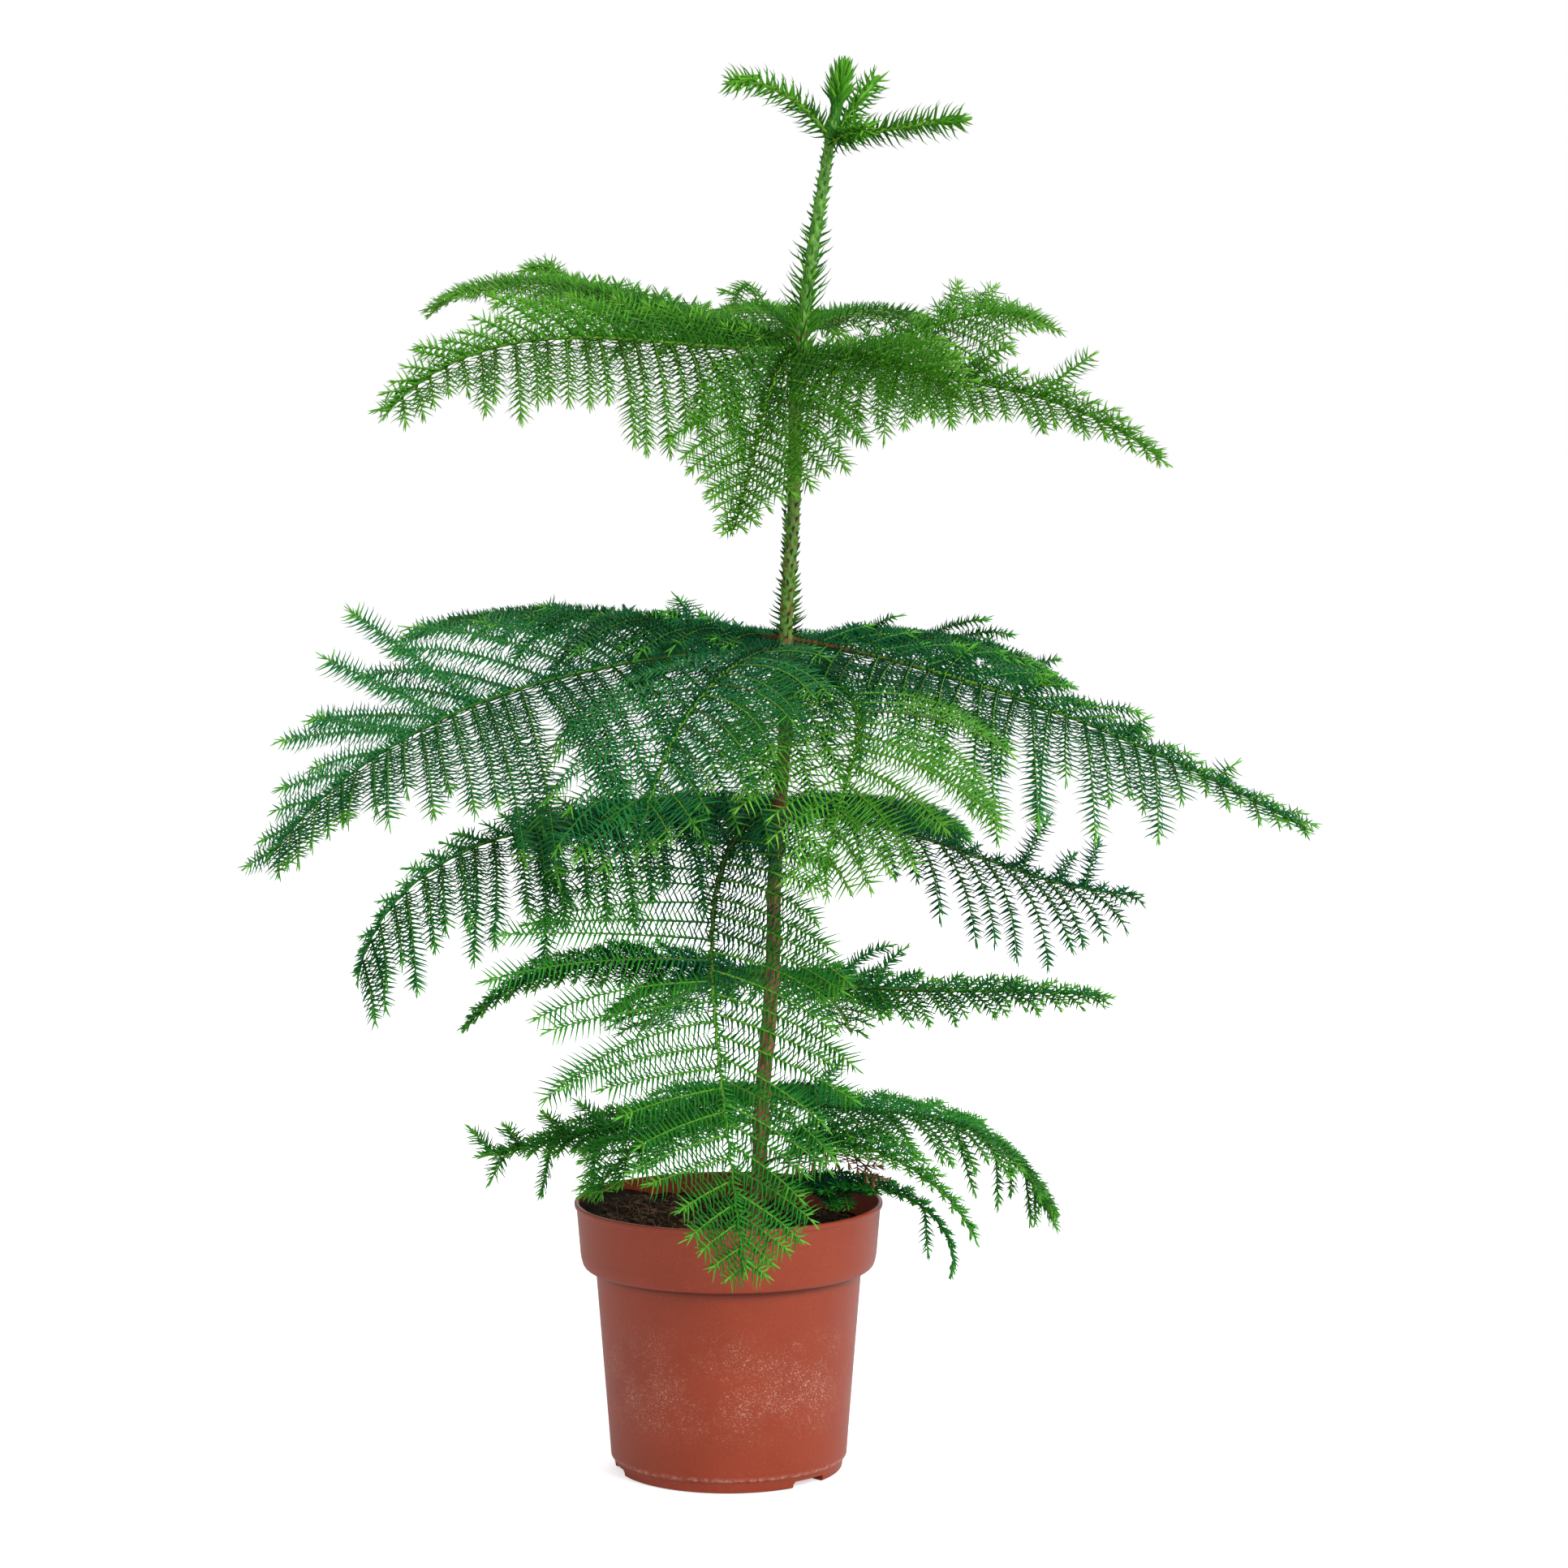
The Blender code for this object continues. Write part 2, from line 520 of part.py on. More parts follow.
def main():
    for obj in list(bpy.data.objects):
        bpy.data.objects.remove(obj, do_unlink=True)
    terracotta = make_material("terracotta_plastic", (0.43, 0.095, 0.058), 0.45)
    earth = make_material("potting_soil", (0.030, 0.018, 0.011), 0.95)
    bark = make_material("young_bark", (0.13, 0.085, 0.035), 0.8)
    green_wood = make_material("green_bough", (0.16, 0.20, 0.035), 0.6)
    greens = {
        "a": make_material("needles_top", (0.075, 0.22, 0.030), 0.5),
        "b": make_material("needles_middle", (0.030, 0.13, 0.045), 0.5),
        "c": make_material("needles_low", (0.022, 0.10, 0.032), 0.5),
    }
    pot = make_pot(terracotta)
    soil = make_soil(earth)
    trunk = make_trunk(bark)
    solids = [tree_of(pot), tree_of(soil), tree_of(trunk)]
    leader = make_leader(greens["a"])
    solids.append(tree_of(leader))
    for key, row in BOUGHS.items():
        if row[13]:
            solids.append(tree_of(make_bough(f"bough_{key}", row, green_wood)))
    for key, row in SHOOTS.items():
        first = (trunk_at(row[0])[1] + 0.004) / row[2]
        obj = make_mass(f"shoot_{key}", row, first, 1.0, 5, solids, greens["a"], shoot=True)
        solids.append(tree_of(obj))
    waiting = {key: rib_tree(row) for key, row in BOUGHS.items()}
    for key, row in sorted(BOUGHS.items(), key=lambda item: (item[0][0], -item[1][2])):
        green = greens[key[0] if key[0] in "ab" else "c"]
        del waiting[key]
        own = row[13]
        first = FOLIAGE_START + (CLEAR + GAP) / row[2] if own else (trunk_at(row[0])[1] + 0.004) / row[2]
        spans = [(f"foliage_{key}", first, 1.0, 8)]
        if key == "c3":     # hangs round the open space beside the trunk, so it is two masses
            spans = [("foliage_c3_upper", first, 0.46, 6), ("foliage_c3_lower", 0.46 + 0.006 / row[2], 1.0, 7)]
        for name, start, end, stations in spans:
            obj = make_mass(name, row, start, end, stations, solids + list(waiting.values()), green)
            solids.append(tree_of(obj))


main()
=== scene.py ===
"""Looks of the potted Norfolk Island pine: needles, twigs, boughs, trunk, pot and soil round the fixed frame.

Metres, +Z up, in the row's own frame. Every shape grows from the sizes named below by seeded rules.
"""

import math
import random

import bpy
import bmesh
import numpy as np
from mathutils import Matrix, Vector, noise


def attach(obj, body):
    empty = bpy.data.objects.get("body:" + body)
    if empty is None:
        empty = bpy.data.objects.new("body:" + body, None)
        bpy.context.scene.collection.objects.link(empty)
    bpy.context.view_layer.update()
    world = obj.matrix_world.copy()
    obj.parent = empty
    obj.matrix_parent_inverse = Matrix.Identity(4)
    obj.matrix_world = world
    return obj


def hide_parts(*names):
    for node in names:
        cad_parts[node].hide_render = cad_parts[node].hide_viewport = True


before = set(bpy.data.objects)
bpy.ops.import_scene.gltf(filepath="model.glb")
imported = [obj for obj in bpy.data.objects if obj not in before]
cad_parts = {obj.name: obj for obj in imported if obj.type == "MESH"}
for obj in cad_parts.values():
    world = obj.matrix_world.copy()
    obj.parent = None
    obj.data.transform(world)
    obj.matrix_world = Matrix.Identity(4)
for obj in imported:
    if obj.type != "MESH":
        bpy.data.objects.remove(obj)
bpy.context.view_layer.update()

# ---------------------------------------------------------------- sizes shared with the solids
POT_HEIGHT = 0.1834
LIP_RADIUS = 0.1050
LIP_DEPTH = 0.0030
BAND_TOP_RADIUS = 0.1036
BAND_LOW_RADIUS = 0.1006
BAND_LOW = 0.1382
BODY_TOP_RADIUS = 0.0906
BODY_LOW_RADIUS = 0.0805
LEDGE_HEIGHT = 0.0087
FOOT_RADIUS = 0.0773
WALL = 0.0017
FLOOR_DISC_RADIUS = 0.052
CHANNEL_HEIGHT = 0.0052
NOTCH_WIDTH = 0.028
NOTCH_HEIGHT = 0.0046
NOTCH_HEADINGS = (-45.0, 75.0, 195.0)
SOIL_LEVEL = 0.1640

# trunk: height, sideways place, radius
TRUNK = (
    (0.1645, 0.0178, 0.0080), (0.1720, 0.0182, 0.0063), (0.2050, 0.0206, 0.0052), (0.2830, 0.0258, 0.0050),
    (0.3940, 0.0317, 0.0047), (0.5040, 0.0375, 0.0045), (0.6460, 0.0427, 0.0042), (0.7590, 0.0478, 0.0041),
    (0.8190, 0.0556, 0.0039), (0.8840, 0.0662, 0.0033), (0.9150, 0.0720, 0.0028), (0.9480, 0.0776, 0.0012),
)
# height, heading, length, pitch at the foot, middle and tip, sweep, roll, laterals left and right, their hang
# left and right, their forward lean
BOUGHS = {
    "a1": (0.769, 157, 0.322, 0, 12, -30, -20, -14, 0.070, 0.036, 1.0, 1.20, 0),
    "a2": (0.760, 137, 0.258, 6, 14, 18, 5, -5, 0.060, 0.045, 1.0, 0.60, 0),
    "a3": (0.761, 203, 0.300, -6, 0, -52, -8, -38, 0.106, 0.062, 2.0, 0.60, 0),
    "a4": (0.755, 255, 0.216, 8, -44, -28, 2, 0, 0.082, 0.066, 0.8, 0.80, 0),
    "a5": (0.752, 314, 0.160, 2, -8, -40, 0, 20, 0.060, 0.100, 0.8, 1.80, 0),
    "a6": (0.759, 355, 0.261, -14, -12, -40, -15, 30, 0.036, 0.050, 0.5, 1.20, 0),
    "a7": (0.766, 64, 0.190, 21, 4, -12, 0, 0, 0.072, 0.072, 2.0, 2.00, 0),
    "a8": (0.760, 30, 0.220, -12, 16, -28, 10, 25, 0.030, 0.060, 0.6, 1.20, 0),
    "a9": (0.766, 102, 0.215, 17, 6, -6, 0, 0, 0.062, 0.062, 1.9, 1.90, 0),
    "b1": (0.566, 153, 0.300, 4, 2, -22, 0, 2, 0.110, 0.048, 1.2, 0.90, 0),
    "b2": (0.560, 190, 0.389, -2, -19, -54, -12, -32, 0.166, 0.150, 1.0, 0.25, 0),
    "b3": (0.560, 240, 0.255, 0, -30, -70, 5, 0, 0.112, 0.110, 0.8, 0.80, 0),
    "b4": (0.555, 314, 0.272, -20, -24, -95, -90, 0, 0.110, 0.120, 0.6, 0.60, 0),
    "b5": (0.566, 341, 0.374, -8, -19, -28, 6, 20, 0.075, 0.136, 0.6, 1.50, 0),
    "b6": (0.560, 35, 0.260, 10, -9, -28, 8, 0, 0.075, 0.090, 1.0, 1.50, 0),
    "b7": (0.564, 106, 0.285, 2, -3, 2, 0, 0, 0.096, 0.096, 1.7, 1.70, 0),
    "c1": (0.452, 198, 0.335, -10, -9, -82, -6, -25, 0.105, 0.036, 1.8, 0.90, 0),
    "c2": (0.446, 0, 0.262, 4, -20, -2, 20, 22, 0.034, 0.082, 0.6, 2.20, 0),
    "c3": (0.450, 235, 0.378, 0, -59, -80, 82, 0, 0.112, 0.138, 0.3, 0.22, 0),
    "c4": (0.447, 132, 0.270, 5, -8, -25, 0, 0, 0.104, 0.104, 1.0, 1.00, 0),
    "c5": (0.447, 62, 0.240, 5, -8, -25, 0, 0, 0.100, 0.100, 1.0, 1.00, 0),
    "d1": (0.340, 187, 0.222, 4, -3, -55, -4, -15, 0.050, 0.040, 1.2, 0.60, 0),
    "d2": (0.340, 357, 0.234, -15, -1, -8, 8, 25, 0.032, 0.036, 0.6, 1.60, 0),
    "d3": (0.336, 70, 0.180, 0, -20, -40, 0, 0, 0.078, 0.078, 0.9, 0.90, 0),
    "d4": (0.336, 125, 0.180, 0, -20, -40, 0, 0, 0.078, 0.078, 0.9, 0.90, 0),
    "e1": (0.236, 190, 0.195, 12, -8, -10, 0, -10, 0.045, 0.035, 1.2, 0.60, 0),
    "e2": (0.262, 218, 0.160, 5, -24, -40, 0, 0, 0.070, 0.070, 0.6, 0.60, 0),
    "e3": (0.258, 14, 0.233, -23, -12, -79, 6, 10, 0.044, 0.052, 0.6, 1.40, 0),
    "e4": (0.230, 335, 0.182, 2, -17, -66, 0, 10, 0.040, 0.036, 0.6, 0.80, 0),
    "e5": (0.200, 342, 0.172, -12, -9, -106, 0, 0, 0.036, 0.036, 0.7, 0.70, 0),
    "e6": (0.250, 90, 0.170, 5, -15, -40, 0, 0, 0.072, 0.072, 0.9, 0.90, 0),
}
SHOOTS = {
    "left": (0.898, 200, 0.086, 52, 28, -14, 0),
    "back": (0.898, 45, 0.064, 42, 45, 40, 0),
    "right": (0.897, 350, 0.095, 12, 8, 5, 0),
    "front": (0.895, 300, 0.050, 15, 10, 5, 0),
}
OWN_BOUGH = ("a1", "a2", "a3", "a4", "a6", "a8", "b1", "b2", "b3", "b4", "b5", "b6",
             "c1", "c2", "c3", "c4", "c5", "d1", "d2", "e3")

# ---------------------------------------------------------------- sizes of the fine growth
STEPS = 72
LEADER_TOP = 0.9535
UP = np.array((0.0, 0.0, 1.0))

# how each tier's needles stand: length, width, angle from the twig, bend forwards, spacing of one rank,
# and the ranks: angle from the spray's upper side, share of full length
TIERS = {
    "a": dict(loose=5, length=0.0118, width=0.00080, angle=74, bend=0.46, pitch=0.0039, space=0.0118, tuft=5,
              ranks=((84, 1.0), (-84, 1.0), (35, 0.85), (-35, 0.85), (130, 0.9), (-130, 0.9))),
    "b": dict(loose=4, length=0.0141, width=0.00087, angle=84, bend=0.34, pitch=0.0035, space=0.0122, tuft=3,
              ranks=((90, 1.0), (-90, 1.0), (130, 0.75), (-130, 0.75), (35, 0.5), (-35, 0.5))),
    "c": dict(loose=4, length=0.0133, width=0.00089, angle=78, bend=0.36, pitch=0.0036, space=0.0135, tuft=3,
              ranks=((90, 1.0), (-90, 1.0), (132, 0.85), (-132, 0.85), (35, 0.6), (-35, 0.6))),
    "d": dict(length=0.0120, width=0.00087, angle=66, bend=0.50, pitch=0.0036, space=0.0100, tuft=4,
              ranks=((78, 1.0), (-78, 1.0), (110, 0.9), (-110, 0.9), (35, 0.8), (-35, 0.8))),
    "e": dict(length=0.0124, width=0.00087, angle=68, bend=0.50, pitch=0.0037, space=0.0102, tuft=4,
              ranks=((78, 1.0), (-78, 1.0), (110, 0.9), (-110, 0.9), (35, 0.75), (-35, 0.75))),
}
# needles that the boughs themselves carry
LIMB_RANKS = {
    "a": ((70, 1.0), (-70, 1.0), (30, 0.95), (-30, 0.95), (0, 0.9)), "b": ((65, 0.7), (-65, 0.7), (25, 0.6), (-20, 0.6)),
    "c": ((65, 0.7), (-65, 0.7), (25, 0.6), (-20, 0.6)), "d": ((70, 0.9), (-70, 0.9), (25, 0.8), (-25, 0.8)),
    "e": ((70, 0.9), (-70, 0.9), (25, 0.8), (-25, 0.8)),
}
# left and right laterals: where the longest stand, how they fall off outwards, their angle from the bough at its foot
# and at its tip, and how they turn forwards
PLAIN = (0.36, 1.15, 88, 42, 0.25)
SHAPES = {
    "d1": ((0.36, 1.0, 84, 46, 0.20), (0.36, 1.15, 70, 38, 0.25)),
    "d2": (((0.0, 0.25, 0.4, 0.7, 1.0), (0.6, 1.1, 0.8, 0.6, 0.3), 62, 40, 0.25),
           ((0.0, 0.2, 0.5, 0.8, 1.0), (0.5, 1.0, 1.0, 0.7, 0.3), 80, 44, 0.15)),
    "e1": ((0.36, 1.15, 78, 42, 0.20), (0.36, 1.15, 70, 40, 0.25)),
    "e5": (((0.0, 0.15, 0.30, 0.45, 0.60, 0.8, 1.0), (0.5, 1.0, 1.0, 0.7, 0.35, 0.25, 0.15), 80, 44, 0.20),
           ((0.0, 0.15, 0.30, 0.45, 0.60, 0.8, 1.0), (0.5, 1.0, 1.0, 0.6, 0.35, 0.25, 0.15), 80, 44, 0.20)),
    "e4": (((0.0, 0.15, 0.30, 0.50, 0.65, 0.8, 1.0), (0.5, 0.8, 1.0, 0.7, 0.36, 0.22, 0.12), 78, 40, 0.20),
           ((0.0, 0.15, 0.30, 0.50, 0.65, 0.8, 1.0), (0.5, 1.0, 0.8, 0.5, 0.34, 0.22, 0.12), 78, 40, 0.20)),
    "e3": (((0.0, 0.2, 0.5, 0.8, 1.0), (0.7, 1.1, 1.0, 0.7, 0.4), 66, 44, 0.25),
           ((0.0, 0.2, 0.45, 0.8, 1.0), (0.7, 1.15, 1.1, 1.0, 0.55), 84, 60, 0.05)),
    "a1": ((0.36, 1.0, 96, 50, 0.10), (0.36, 1.15, 70, 40, 0.25)),
    "a4": (((0.0, 0.2, 0.36, 0.5, 0.65, 0.8, 0.9, 1.0), (0.35, 0.75, 1.0, 0.90, 0.60, 0.34, 0.20, 0.10), 86, 42, 0.20),
           ((0.0, 0.2, 0.36, 0.5, 0.65, 0.8, 0.9, 1.0), (0.35, 0.80, 1.1, 0.95, 0.62, 0.36, 0.22, 0.10), 86, 42, 0.20)),
    "a3": (((0.0, 0.2, 0.38, 0.45, 0.62, 0.72, 0.80, 0.88, 1.0), (0.4, 0.76, 0.82, 0.70, 0.64, 0.46, 0.36, 0.28, 0.12), 104, 62, 0.05),
           (0.40, 1.15, 80, 40, 0.25)),
    "a8": (((0.0, 0.3, 0.5, 0.65, 0.85, 1.0), (0.5, 0.6, 0.8, 1.2, 0.8, 0.3), 70, 40, 0.25), (0.45, 1.3, 84, 46, 0.20)),
    "c1": (((0.0, 0.3, 0.5, 0.7, 0.85, 1.0), (0.4, 0.9, 1.0, 0.86, 0.70, 0.38), 100, 66, 0.05), PLAIN),
    "c2": (((0.0, 0.3, 0.6, 1.0), (0.6, 1.0, 0.7, 0.3), 70, 40, 0.25),
           ((0.0, 0.2, 0.4, 0.74, 0.84, 0.92, 1.0), (0.3, 0.8, 1.1, 1.05, 0.60, 0.30, 0.12), 80, 52, 0.02)),
    "c3": (((0.0, 0.15, 0.36, 0.60, 0.78, 0.84, 0.91, 1.0), (0.35, 0.6, 1.0, 0.82, 0.60, 0.53, 0.36, 0.12), 86, 50, 0.18),
           ((0.0, 0.15, 0.30, 0.50, 0.62, 0.70, 0.78, 0.86, 0.93, 1.0), (0.35, 0.60, 0.95, 1.04, 0.86, 0.60, 0.50, 0.40, 0.26, 0.10), 98, 72, 0.04)),
    "b1": (PLAIN, (0.36, 1.15, 78, 36, 0.25)),
    "b3": (PLAIN, ((0.0, 0.2, 0.36, 0.60, 0.80, 1.0), (0.50, 0.95, 1.16, 1.06, 0.66, 0.18), 90, 46, 0.18)),
    "b4": (((0.0, 0.2, 0.36, 0.55, 0.72, 0.86, 1.0), (0.40, 0.85, 1.15, 1.16, 0.80, 0.46, 0.14), 88, 46, 0.20), PLAIN),
    "b2": (((0.0, 0.2, 0.35, 0.52, 0.62, 0.75, 1.0), (0.72, 1.0, 1.04, 1.0, 0.52, 0.36, 0.14), 128, 60, -0.15),
           (0.42, 1.00, 62, 30, 0.20)),
    "b5": (((0.0, 0.3, 0.5, 0.62, 0.8, 1.0), (0.5, 1.0, 0.8, 0.45, 0.3, 0.2), 62, 36, 0.25),
           ((0.0, 0.15, 0.35, 0.55, 0.70, 0.76, 1.0), (0.35, 0.8, 1.0, 0.76, 0.62, 0.26, 0.13), 92, 56, 0.05)),
    "b6": (PLAIN, (0.36, 1.15, 92, 62, 0.10)),
}
# laterals out of the flat spray: share of the way out, side, length, curl and rise in degrees
EXTRA = {
    "a2": ((0.86, -1, 0.040, 150, 50), (0.90, 1, 0.030, 170, 60)),
    "a9": ((0.50, -1, 0.075, 190, 62), (0.62, -1, 0.060, 200, 66), (0.80, -1, 0.035, 90, 50)),
    "a6": ((0.63, -1, 0.052, 10, 26), (0.44, -1, 0.040, 60, 50)),
    "a8": ((0.58, -1, 0.032, 40, 58), (0.72, -1, 0.030, 60, 50)),
    "c1": ((0.48, -1, 0.085, -70, -22),),
    "c2": ((0.66, -1, 0.052, 20, 48), (0.84, -1, 0.040, 10, 52), (0.76, -1, 0.030, 30, 40)),
    "d2": ((0.20, -1, 0.052, 60, 40), (0.30, -1, 0.040, 40, 46)),
    "b1": ((0.25, 1, 0.034, 30, 38), (0.23, -1, 0.026, 60, 36)),
    "b6": ((0.46, 1, 0.045, 40, 32), (0.55, 1, 0.045, 60, 30), (0.24, 1, 0.030, 40, 38), (0.70, -1, 0.026, 30, 36), (0.85, 1, 0.024, 40, 38)),
    "b5": ((0.30, -1, 0.028, 20, 42), (0.45, -1, 0.026, 30, 42), (0.64, -1, 0.024, 20, 38), (0.82, -1, 0.020, 20, 38)),
    "b2": ((0.54, 1, 0.116, -4, 31, 32), (0.60, 1, 0.104, -3, 24, 33), (0.66, 1, 0.084, 0, 12, 34)),
    "b7": ((0.90, 1, 0.022, 30, 46), (0.94, -1, 0.020, 20, 50)),
    "e3": ((0.16, -1, 0.045, 30, 44), (0.60, 1, 0.050, -10, -70), (0.74, 1, 0.045, 10, -80),
           (0.88, 1, 0.036, 0, -76), (0.80, -1, 0.034, 10, -62), (0.94, -1, 0.026, 10, -58, 30)),
    "e1": ((0.55, 1, 0.030, 30, 40), (0.70, -1, 0.030, 20, 52), (0.86, -1, 0.024, 20, 58), (0.95, 1, 0.022, 10, 50, 30),
           (0.58, -1, 0.044, 0, -76), (0.74, 1, 0.040, 0, -74), (0.90, -1, 0.024, 0, -46, 30)),
    "e5": ((0.16, -1, 0.045, -20, -16, 30), (0.24, -1, 0.045, -20, -20, 40), (0.32, -1, 0.036, -20, -24), (0.16, 1, 0.045, -20, -16, 30),
           (0.22, 1, 0.045, -20, -20, 44), (0.28, 1, 0.036, -20, -24), (0.34, 1, 0.030, -20, -30), (0.70, 1, 0.032, 0, -66)),
}
# colours dealt to each bough's needles: old needles, younger outer needles, tips
GREENS = {
    "top": (0.080, 0.342, 0.016), "top_deep": (0.036, 0.204, 0.012), "top_tip": (0.146, 0.445, 0.030),
    "mid": (0.020, 0.226, 0.054), "mid_deep": (0.012, 0.158, 0.054), "mid_tip": (0.095, 0.440, 0.050),
    "young": (0.104, 0.420, 0.034), "young_tip": (0.190, 0.530, 0.048),
    "low": (0.018, 0.220, 0.042), "low_deep": (0.006, 0.140, 0.056), "low_tip": (0.075, 0.390, 0.044),
    "fair": (0.038, 0.296, 0.030), "fair_tip": (0.112, 0.460, 0.038),
    "rib": (0.150, 0.360, 0.030), "rib_old": (0.100, 0.170, 0.028), "rib_brown": (0.190, 0.085, 0.026),
    "dead": (0.110, 0.050, 0.022), "dead_pale": (0.230, 0.130, 0.060),
    "spike": (0.110, 0.330, 0.036), "spike_dark": (0.026, 0.090, 0.020),
}
# boughs that carry only every second lateral on one side, and from which share outwards
SPARSE = {"b2": (1, 0.36), "b1": (-1, 0.30)}
# boughs whose laterals differ most in length: the shortest share of the full length
UNEVEN = {"b5": 0.52, "c2": 0.56, "c1": 0.62, "e3": 0.62, "b2": 0.68, "a3": 0.66, "d2": 0.62, "b6": 0.62}
# boughs whose needles lie in two ranks, with few above and below
RANKS = {
    "b3": ((90, 1.1), (-90, 1.1), (140, 0.6), (-40, 0.5)), "b4": ((90, 1.1), (-90, 1.1), (140, 0.6), (-40, 0.5)),
    "c3": ((90, 1.1), (-90, 1.1), (140, 0.6), (-40, 0.5)), "b2": ((90, 1.0), (-90, 1.0), (130, 0.65), (-130, 0.65), (20, 0.45)),
    "b5": ((90, 1.1), (-90, 1.1), (130, 0.65), (-130, 0.65), (20, 0.45)),
    "a7": ((88, 1.0), (-88, 1.0), (30, 0.70), (-140, 0.6)), "a9": ((88, 1.0), (-88, 1.0), (30, 0.70), (-140, 0.6)),
}
# boughs whose needles stand farther apart than their tier's, and whose laterals stand closer
OPEN = {"d3": 0.74, "d4": 0.70, "e2": 0.84, "e6": 0.84, "a7": 0.80, "a9": 0.76, "c2": 0.80, "d2": 0.86, "e3": 0.84, "e4": 0.90, "a6": 0.90, "a2": 0.84, "a3": 0.92, "b5": 0.90, "b3": 0.80, "b4": 0.92, "a4": 0.86, "a5": 0.80, "a8": 0.80, "c3": 1.00, "a1": 0.92}
SPACES = {"d3": 0.0145, "d4": 0.0150, "e2": 0.0126, "e6": 0.0120, "b3": 0.0160, "b4": 0.0160, "c3": 0.0144, "a4": 0.0114, "d2": 0.0078, "c2": 0.0158, "e3": 0.0086, "d1": 0.0090, "e5": 0.0090}
# boughs whose needles are shorter than their tier's
NEEDLE_SIZE = {"c2": 0.80, "d2": 0.74, "d1": 0.82, "c1": 0.86, "e5": 0.70, "e3": 0.80, "e4": 0.80, "b5": 0.86, "b6": 0.86,
               "b7": 0.80, "a9": 0.80, "a7": 0.85}
# bough: inner, outer and tip colours
DEALT = {
    "a": ("top_deep", "top", "top_tip"), "b": ("mid_deep", "mid", "mid_tip"), "c": ("mid_deep", "mid", "mid_tip"),
    "d": ("mid_deep", "low", "low_tip"), "e": ("low", "fair", "fair_tip"),
    "b4": ("mid", "young", "young_tip"), "b2": ("mid_deep", "mid", "fair_tip"), "b3": ("mid_deep", "mid", "young"),
    "b5": ("mid_deep", "mid", "fair_tip"), "c2": ("low_deep", "low_deep", "low"), "d2": ("low", "low", "fair_tip"),
    "c1": ("low_deep", "low", "low_tip"), "e5": ("low_deep", "low", "fair"), "c3": ("mid_deep", "fair", "fair_tip"),
    "d1": ("low_deep", "low", "fair_tip"), "d3": ("mid", "fair", "fair_tip"), "d4": ("mid", "fair", "fair_tip"),
    "a7": ("top_deep", "top_deep", "top"),
}


# ---------------------------------------------------------------- lines
def unit(vector):
    return vector / np.linalg.norm(vector)


def units(rows):
    return rows / np.maximum(np.linalg.norm(rows, axis=1, keepdims=True), 1e-12)


def trunk_at(height):
    rows = np.array(TRUNK)
    return np.interp(height, rows[:, 0], rows[:, 1]), np.interp(height, rows[:, 0], rows[:, 2])


def bough_line(row):
    height, heading, length, foot, middle, tip, sweep = row[:7]
    share = (np.arange(STEPS) + 0.5) / STEPS
    curve = 2 * (foot + tip - 2 * middle)
    slope = 4 * middle - 3 * foot - tip
    pitch = np.radians(foot + slope * share + curve * share**2)
    turn = np.radians(heading + sweep * share)
    ways = np.stack([np.cos(pitch) * np.cos(turn), np.cos(pitch) * np.sin(turn), np.sin(pitch)], 1)
    rights = np.stack([np.sin(turn), -np.cos(turn), np.zeros(STEPS)], 1)
    points = np.vstack([np.zeros(3), np.cumsum(ways * length / STEPS, 0)])
    return points + np.array([trunk_at(height)[0], 0.0, height]), ways, rights


def place(line, share):
    points, ways, rights = line
    share = min(max(share, 0.0), 1.0)
    step = min(STEPS - 1, int(share * STEPS))
    part = share * STEPS - step
    return points[step] * (1 - part) + points[step + 1] * part, ways[step], rights[step]


def side_frame(way, right, roll):
    upper = np.cross(right, way)
    cos, sin = math.cos(math.radians(roll)), math.sin(math.radians(roll))
    return right * cos - upper * sin, upper * cos + right * sin


def spread(share, peak=0.36, fall=1.15):
    """Relative length of a lateral: it grows up to the share peak and then falls off towards the bough's tip."""
    if isinstance(peak, tuple):
        return float(np.interp(share, peak, fall))
    if share < peak:
        return 0.35 + 0.65 * math.sin(0.5 * math.pi * max(0.0, (share - 0.1) / (peak - 0.1)))
    return 1 - 0.86 * ((share - peak) / (1 - peak)) ** fall


def lateral_line(start, way, right, upper, side, share, length, hang, lean, rng, form=PLAIN):
    """Points along one lateral: it leaves the bough sideways, sags and turns a little towards the bough's tip."""
    angle = form[2] + (form[3] - form[2]) * share - (lean * (1 - 0.3 * share) * 1.6 if side > 0 else 0)
    angle = math.radians(angle + rng.uniform(-5, 5))
    d = unit(math.cos(angle) * way + math.sin(angle) * side * right + (0.12 + rng.uniform(-0.07, 0.07)) * upper)
    count = max(4, round(length / 0.004))
    wander = np.array([rng.uniform(-1, 1) for _ in range(3)]) * 0.17
    sag = hang * 1.1 * rng.uniform(0.8, 1.2)
    points = [start]
    for j in range(count):
        points.append(points[-1] + d * length / count)
        d = unit(d + (-UP * sag + way * form[4] + wander) * (length / count) / 0.085 * (0.4 + (j + 1) / count))
    return np.array(points)


